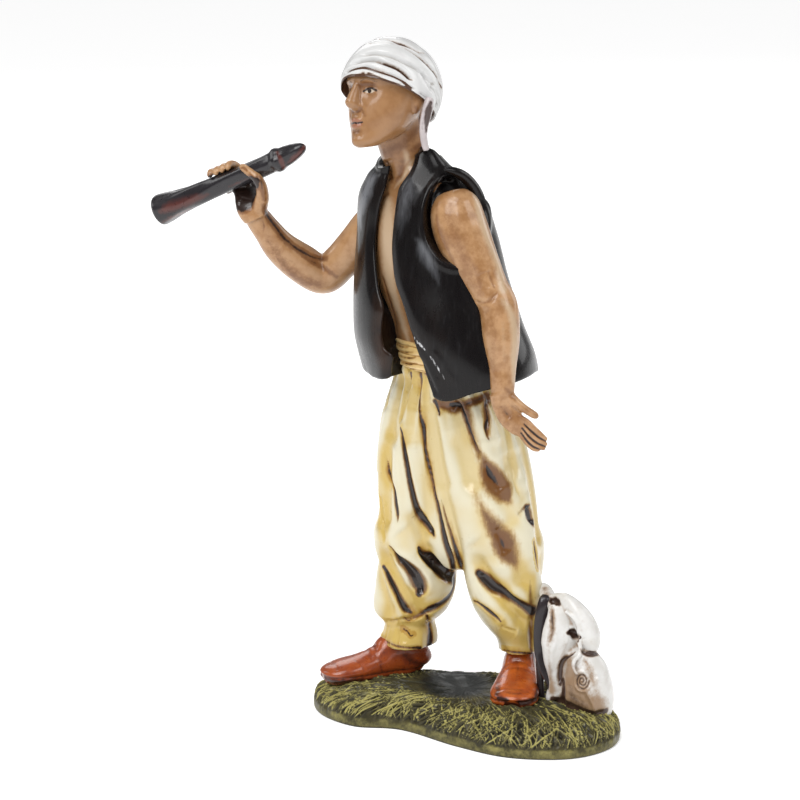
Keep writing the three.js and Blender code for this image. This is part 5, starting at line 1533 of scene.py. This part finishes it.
def makeTurban():
    wide, deep, tall = turban["wide"], turban["deep"], turban["tall"]
    middleY, middleZ = turban["centre"]
    hingeY, hingeZ = turban["hinge"]
    toEye = -viewAhead @ headFrame

    def cut(angle):
        # Where a plane at this angle cuts the egg: its run, middle and half length
        runY, runZ = -math.cos(angle), math.sin(angle)
        fromY, fromZ = hingeY - middleY, hingeZ - middleZ
        a = (runY / deep)**2 + (runZ / tall)**2
        b = fromY * runY / deep**2 + fromZ * runZ / tall**2
        c = (fromY / deep)**2 + (fromZ / tall)**2 - 1
        root = math.sqrt(max(b * b - a * c, 0))
        return runY, runZ, -b / a, root / a

    first = last = turban["brim"]
    while cut(math.radians(last + 1))[3] > 0.6:
        last += 1
    phases = (2 * turban["bands"] + 1) / 2
    turn = np.arange(turban["sides"]) / turban["sides"] * 2 * math.pi
    rings = []
    crease = []
    # The first rings go in under the brim
    under = turban["under"]
    shares = np.concatenate([[0] * len(under), np.linspace(0, 1, turban["steps"])])
    tucks = np.concatenate([under, np.ones(turban["steps"])])
    for share, tuck in zip(shares, tucks):
        runY, runZ, middle, half = cut(math.radians(first + (last - first) * share))
        centreY, centreZ = hingeY + runY * middle, hingeZ + runZ * middle
        cover = 1 - ((centreY - middleY) / deep)**2 - ((centreZ - middleZ) / tall)**2
        across = wide * math.sqrt(max(cover, 0.004))
        spread = smoothstep(middle - half * np.sin(turn), 1.5, 7) * smoothstep(half, 1, 5)
        # The wraps on the near side follow the picture; those out of its sight are evenly laid
        surfaceY, surfaceZ = centreY - runY * half * np.sin(turn), centreZ - runZ * half * np.sin(turn)
        facing = across * np.cos(turn) * toEye[0] + (surfaceY - middleY) * toEye[1]
        facing = (facing + (surfaceZ - middleZ) * toEye[2]) / wide
        plain = 1 - smoothstep(facing, -0.15, 0.3)
        bulge = np.abs(math.cos(math.pi * phases * share))
        band = (0.12 + plain * (-0.40 + 0.62 * bulge**0.62)) * spread
        band = band + 0.16 * math.exp(-((share - 0.045) / 0.035)**2)
        hug = tuck * (1 - 0.045 * math.exp(-(share / 0.05)**2))
        x = (across + band) * hug * np.cos(turn)
        along = (half + band) * hug * np.sin(turn)
        sag = turban["arch"] * np.maximum(-np.cos(turn), 0)**1.6
        sag = sag + turban["forehead"] * np.maximum(-np.sin(turn), 0)**1.2
        sag = sag * max(1 - share * 1.8, 0)**1.5
        # the underside of the brim rises steeply to the forehead
        local = np.stack([x, centreY - runY * along,
                          centreZ - runZ * along - sag + turban["rise"] * (1 - tuck)], 1)
        rings.append((local * head["unit"]) @ headFrame.T + head["centre"])
        # the rings under the brim and its lowest edge are painted dark, as shade under the brim
        crease.append((1 - bulge)**3 * spread * plain + (tuck < 0.99 or share < 0.02) * 2)
    form = loft(np.array(rings))
    form.marks["wash"] = np.clip(np.concatenate(crease) * 0.5, 0, 1)
    form.relax(1, 0.4)
    tree = form.tree()
    brush(form, tree, turban["creases"], 1.0, lips=0.35, spread=0.85)
    brush(form, tree, turban["spots"], 0.8)
    brush(form, tree, [turban["brimLine"]], 1.0, 0.12, lips=0)
    settle(form)
    finishPiece(form, "turban", brushedPaint("turban paint", turban["paint"]), 12, 0.25)


def makeTurbanTail():
    form = cast([placedSweep(turban["tail"], 40, 60, 2.4)], turban["tailGrain"], 2)
    brush(form, form.tree(), turban["tailStrokes"], 0.8)
    settle(form)
    finishPiece(form, "turbanTail", brushedPaint("turban tail paint", turban["tailPaint"]), 8, 0.2)


# Bundle and its strap
# stations: (x, y) in the picture, how far behind the middle, half width and half depth
bundle = {
    # which forms are melted into it: name, sides, steps and, where it isn't round, how square it is
    "forms": [("bag", 80, 80), ("core", 60, 60), ("drape", 60, 80, 2.3), ("flap", 60, 80),
        ("legCloth", 40, 40), ("edge", 20, 80)],
    "grain": .17,
    "bag": [
        (588, 716, -6.2, 3.6, 3.2), (588, 711, -6.2, 4.2, 3.8), (587.5, 700, -6.3, 4.6, 4.2),
        (586.5, 686, -6.3, 4.5, 4.2), (585, 673, -6.1, 4.1, 3.8), (582, 662, -6, 3.4, 3.2),
        (579, 652, -5.8, 2.4, 2.4), (578, 646, -5.6, .7, .8)],
    "core": [
        (570, 712, -4.6, 3, 2.8), (568, 700, -4.4, 3.1, 2.9), (567, 680, -4.2, 2.9, 2.8),
        (568, 655, -4, 2.9, 2.6), (567, 630, -3.8, 2.6, 2.4), (560, 610, -3.4, 1.9, 1.8),
        (555, 602, -3.2, .7, .8)],
    "drape": [
        (554, 604, -4.2, 1.1, 1), (558.5, 617, -4.9, 2.3, 1.5), (559.5, 633, -5.4, 3, 1.6),
        (557, 647, -5.6, 2.8, 1.4), (553.5, 660, -5.7, 1.8, 1.1), (553.5, 672, -5.8, 1.15, .8),
        (554.5, 683, -5.9, 1, .7), (553, 695, -6.2, 1.2, .8), (553, 700, -6.2, 1.3, .8)],
    "flap": [
        (551, 600, -2.4, .6, .9), (558, 601, -3.2, 1, 1.6), (567.5, 604.5, -4.2, 1.45, 2.2),
        (576, 611.5, -5, 1.75, 2.5), (583, 621.5, -5.6, 2, 2.6), (587.5, 632.5, -5.9, 2.1, 2.6),
        (590.5, 643, -6, 1.8, 2.3), (592, 650, -6, 1, 1.5), (592.5, 653, -6, .2, .5)],
    "legCloth": [
        (541, 586, 1, .8, .8), (545, 590, .2, 1.2, 1), (548, 597, -1.4, 1.3, 1.2), (550, 604, -2.8, 1, 1.2),
        (552, 612, -3.4, .5, .8)],
    "edge": [
        (565, 611, -6.6, .3, .3), (573.5, 618, -7.4, .34, .34), (578, 627, -7.9, .34, .34),
        (578.5, 640, -8, .34, .34), (580.5, 649, -8.3, .4, .4), (578.5, 656, -8.8, .42, .42),
        (574, 661, -9.2, .42, .42), (573.5, 668, -9.6, .42, .42), (577, 675, -10, .36, .36)],
    "curl": (582, 681, 7),
    # depth, fold, then (x, y, half width, paint)
    "strokes": [
        (.8, .2, [(568.5, 633, .2, .9), (573, 633, .4, 1), (576.5, 637, .36, 1), (577.5, 641, .15, .8)]),
        (.5, .1, [(550, 599.5, .3, .8), (555, 601.5, .45, 1), (559, 604, .2, .9)]),
        [(544, 588, .4, .35), (547, 595, .5, .35), (549, 601, .4, .4)],
        (.3, .1, [(551.5, 607, .2, .3), (551, 618, .3, .5), (552.5, 630, .3, .4), (548.5, 645, .25, .3)]),
        (.3, .1, [(575, 652, .1, .5), (567, 657, .18, .6), (562, 663, .22, .65), (560, 674, .24, .7),
            (560.5, 684, .26, .8)]),
        # painted shade in the gap between the drape and the bag
        (.3, [(562.5, 680, .25, .9), (563, 692, .4, 1), (562, 703, .6, 1)]),
        (.3, [(553, 699, .3, .9), (563, 703, .5, 1), (580, 711, .45, 1), (593, 714, .4, 1),
            (606, 711, .35, .8)]),
        (.25, [(581, 650, .25, .4), (586, 653.5, .3, .8), (592, 654, .3, .9), (598, 653.5, .2, .6)]),
        [(569, 684, .8, .3), (573, 698, 1.2, .4), (586, 708, 1.2, .35)],
        (.3, .1, [(585, 659, .3, .15), (591, 668, .35, .2), (595, 680, .3, .1)])],
    # beige painted shade on the cloth
    "beigeShade": [
        (.0, .2, [(569, 662, 1.2, .8), (570, 676, 1.8, 1), (573, 690, 2.1, 1.1), (580, 703, 2.2, 1.2),
            (592, 706, 1.6, 1)]),
        [(584, 660, .6, .5), (590, 672, .8, .6), (594, 684, .9, .6)],
        [(596, 692, 1.2, .55), (598, 702, 1.5, .8), (600, 710, 1.2, .9)],
        [(552, 611, .5, .7), (552, 625, .6, .75), (550, 640, .5, .5), (549, 656, .4, .4),
            (550, 672, .5, .6), (552, 690, .8, .8)],
        [(566, 645, .6, .4), (563, 655, .5, .5), (558, 668, .4, .6)]],
    "ridges": [
        (-.28, [(584, 688, .2, 0), (588.5, 696, .2, 0), (593, 705, .2, 0), (595.5, 715, .2, 0)]),
        (-.2, [(551, 622, .35, 0), (556, 640, .3, 0), (551, 655, .25, 0), (553, 672, .2, 0)]),
        (-.25, .1, [(586, 657, .3, 0), (593, 668, .35, 0), (599, 682, .3, 0)])],
    "strap": [
        (546, 596, -2.4, .7, .5), (544, 602, -3.2, 1, .6), (540.5, 620, -3.6, 1.05, .55),
        (539.5, 640, -3.8, 1.05, .55), (540.6, 656, -4.2, .95, .5), (545, 672, -5, .8, .45),
        (549.5, 684, -5.8, .52, .4), (549.5, 693, -6.4, .25, .3)],
    "strapEnd": [(538.5, 648, -3.6, .5, .5), (539.5, 668, -3.6, .62, .5), (540.5, 685, -3.6, .62, .5),
        (542, 703, -3.8, .5, .5)],
    "paint": {
        "light": (.70, .69, .67), "deep": (.58, .555, .51), "shade": (.30, .19, .11),
        "thinWash": (.30, .185, .10), "wash": (.055, .028, .018), "worn": (.82, .81, .79),
        "second": (.31, .205, .125), "patch": 3, "wear": .8, "roughness": .36, "specks": .05, "ragged": .35,
    },
    "strapPaint": {
        "light": (.016, .01, .012), "deep": (.01, .006, .008), "shade": (.006, .004, .004),
        "wash": (.005, .003, .003), "thinWash": (.006, .004, .004), "worn": (.05, .03, .035), "patch": 2,
    },
}


def makeBundle():
    form = cast([placedSweep(bundle[name], *how) for name, *how in bundle["forms"]], bundle["grain"], 2)
    tree = form.tree()
    brush(form, tree, bundle["strokes"], 0.8)
    # beige painted shade
    brush(form, tree, bundle["beigeShade"], 0.8, name="second")
    brush(form, tree, bundle["ridges"], 0.8, lips=0)
    x, y, size = bundle["curl"]
    spiral = []
    for k in range(40):
        turn = k / 39 * 4.6 * math.pi
        spiral.append((x + size * (1 - k / 44) * math.cos(turn),
                       y + size * 1.25 * (1 - k / 44) * math.sin(turn), 0.13, 0.5))
    brush(form, tree, [spiral], 0.5, 0.3, lips=0.7)
    settle(form)
    finishPiece(form, "bundle", brushedPaint("bundle paint", bundle["paint"]), 16, 0.3)


def makeStrap():
    form = joined([placedSweep(bundle["strap"], 28, 60, 2.6), placedSweep(bundle["strapEnd"], 24, 30, 2.4)])
    finishPiece(form, "strap", brushedPaint("strap paint", bundle["strapPaint"]), 8, 0.2)


makeMound()
makeShoe("right")
makeShoe("left")
makeTrousers()
makeSash()
makeSkin()
makeWaistcoat()
makeLeftArm()
makeRightArm()
makePipe()
makeTurban()
makeTurbanTail()
makeBundle()
makeStrap()


# Floor, light and camera: lengths in metres; a lamp's turn and lift are degrees round the figure and up
studio = {
    "floorHalf": 6, "glow": .41, "sky": .2, "aim": (0, 0, .06), "sensor": 36,
    "floor": {"white": (.9, .9, .9), "grey": (.891, .891, .891),
        "gloss": {"coat": 0, "coatRoughness": .3, "specular": .2}},
    "sun": {"turn": 15, "lift": 58, "distance": 1.5, "watts": 1.6, "spread": 40},
    # turn, lift, distance, size, watts
    "lamps": [(20, 35, .8, .36, 2), (100, 40, .8, .36, 1.6), (-60, 30, .8, .3, .8),
        (-122, 35, .8, .4, 1.3), (168, 20, .8, .4, 1.1)],
}


def makeFloor():
    half = studio["floorHalf"]
    mesh = bpy.data.meshes.new("floor")
    corners = [(-half, -half, 0), (half, -half, 0), (half, half, 0), (-half, half, 0)]
    mesh.from_pydata(corners, [], [(0, 1, 2, 3)])
    paint = Paint("floor white", studio["floor"])
    cloud = paint.noise(40, 2)
    paint.start("white", "grey", cloud)
    mesh.materials.append(paint.finish(0.6, cloud, 0.01, glow=studio["glow"]))
    shown("floor", mesh)


def makeLights():
    world = bpy.data.worlds.new("studio")
    world.use_nodes = True
    background = world.node_tree.nodes["Background"]
    background.inputs["Color"].default_value = (1, 1, 1, 1)
    background.inputs["Strength"].default_value = studio["sky"]
    bpy.context.scene.world = world
    aim = Vector(studio["aim"])

    def hang(light, turn, lift, distance):
        turn, lift = math.radians(turn), math.radians(lift)
        outward = Vector((math.sin(turn) * math.cos(lift), -math.cos(turn) * math.cos(lift), math.sin(lift)))
        lamp = shown(light.name, light)
        lamp.location = aim + outward * distance
        lamp.rotation_euler = (aim - lamp.location).to_track_quat("-Z", "Y").to_euler()

    sun = bpy.data.lights.new("bigSoftbox", "SUN")
    sun.energy = studio["sun"]["watts"]
    sun.angle = math.radians(studio["sun"]["spread"])
    hang(sun, studio["sun"]["turn"], studio["sun"]["lift"], studio["sun"]["distance"])
    for k, (turn, lift, distance, size, watts) in enumerate(studio["lamps"]):
        light = bpy.data.lights.new(f"softbox{k}", "AREA")
        light.shape = "SQUARE"
        light.size = size
        light.energy = watts
        hang(light, turn, lift, distance)


def makeCamera():
    camera = bpy.data.cameras.new("camera")
    camera.sensor_width = studio["sensor"]
    camera.lens = picture["focal"] / picture["side"] * studio["sensor"]
    camera.clip_start = 0.01
    holder = shown("camera", camera)
    axes = Matrix([list(viewRight), list(viewAbove), list(-viewAhead)]).transposed()
    holder.matrix_world = Matrix.Translation(Vector(eye / 1000)) @ axes.to_4x4()
    bpy.context.scene.camera = holder
    bpy.context.scene.view_settings.view_transform = "Standard"


makeFloor()
makeLights()
makeCamera()
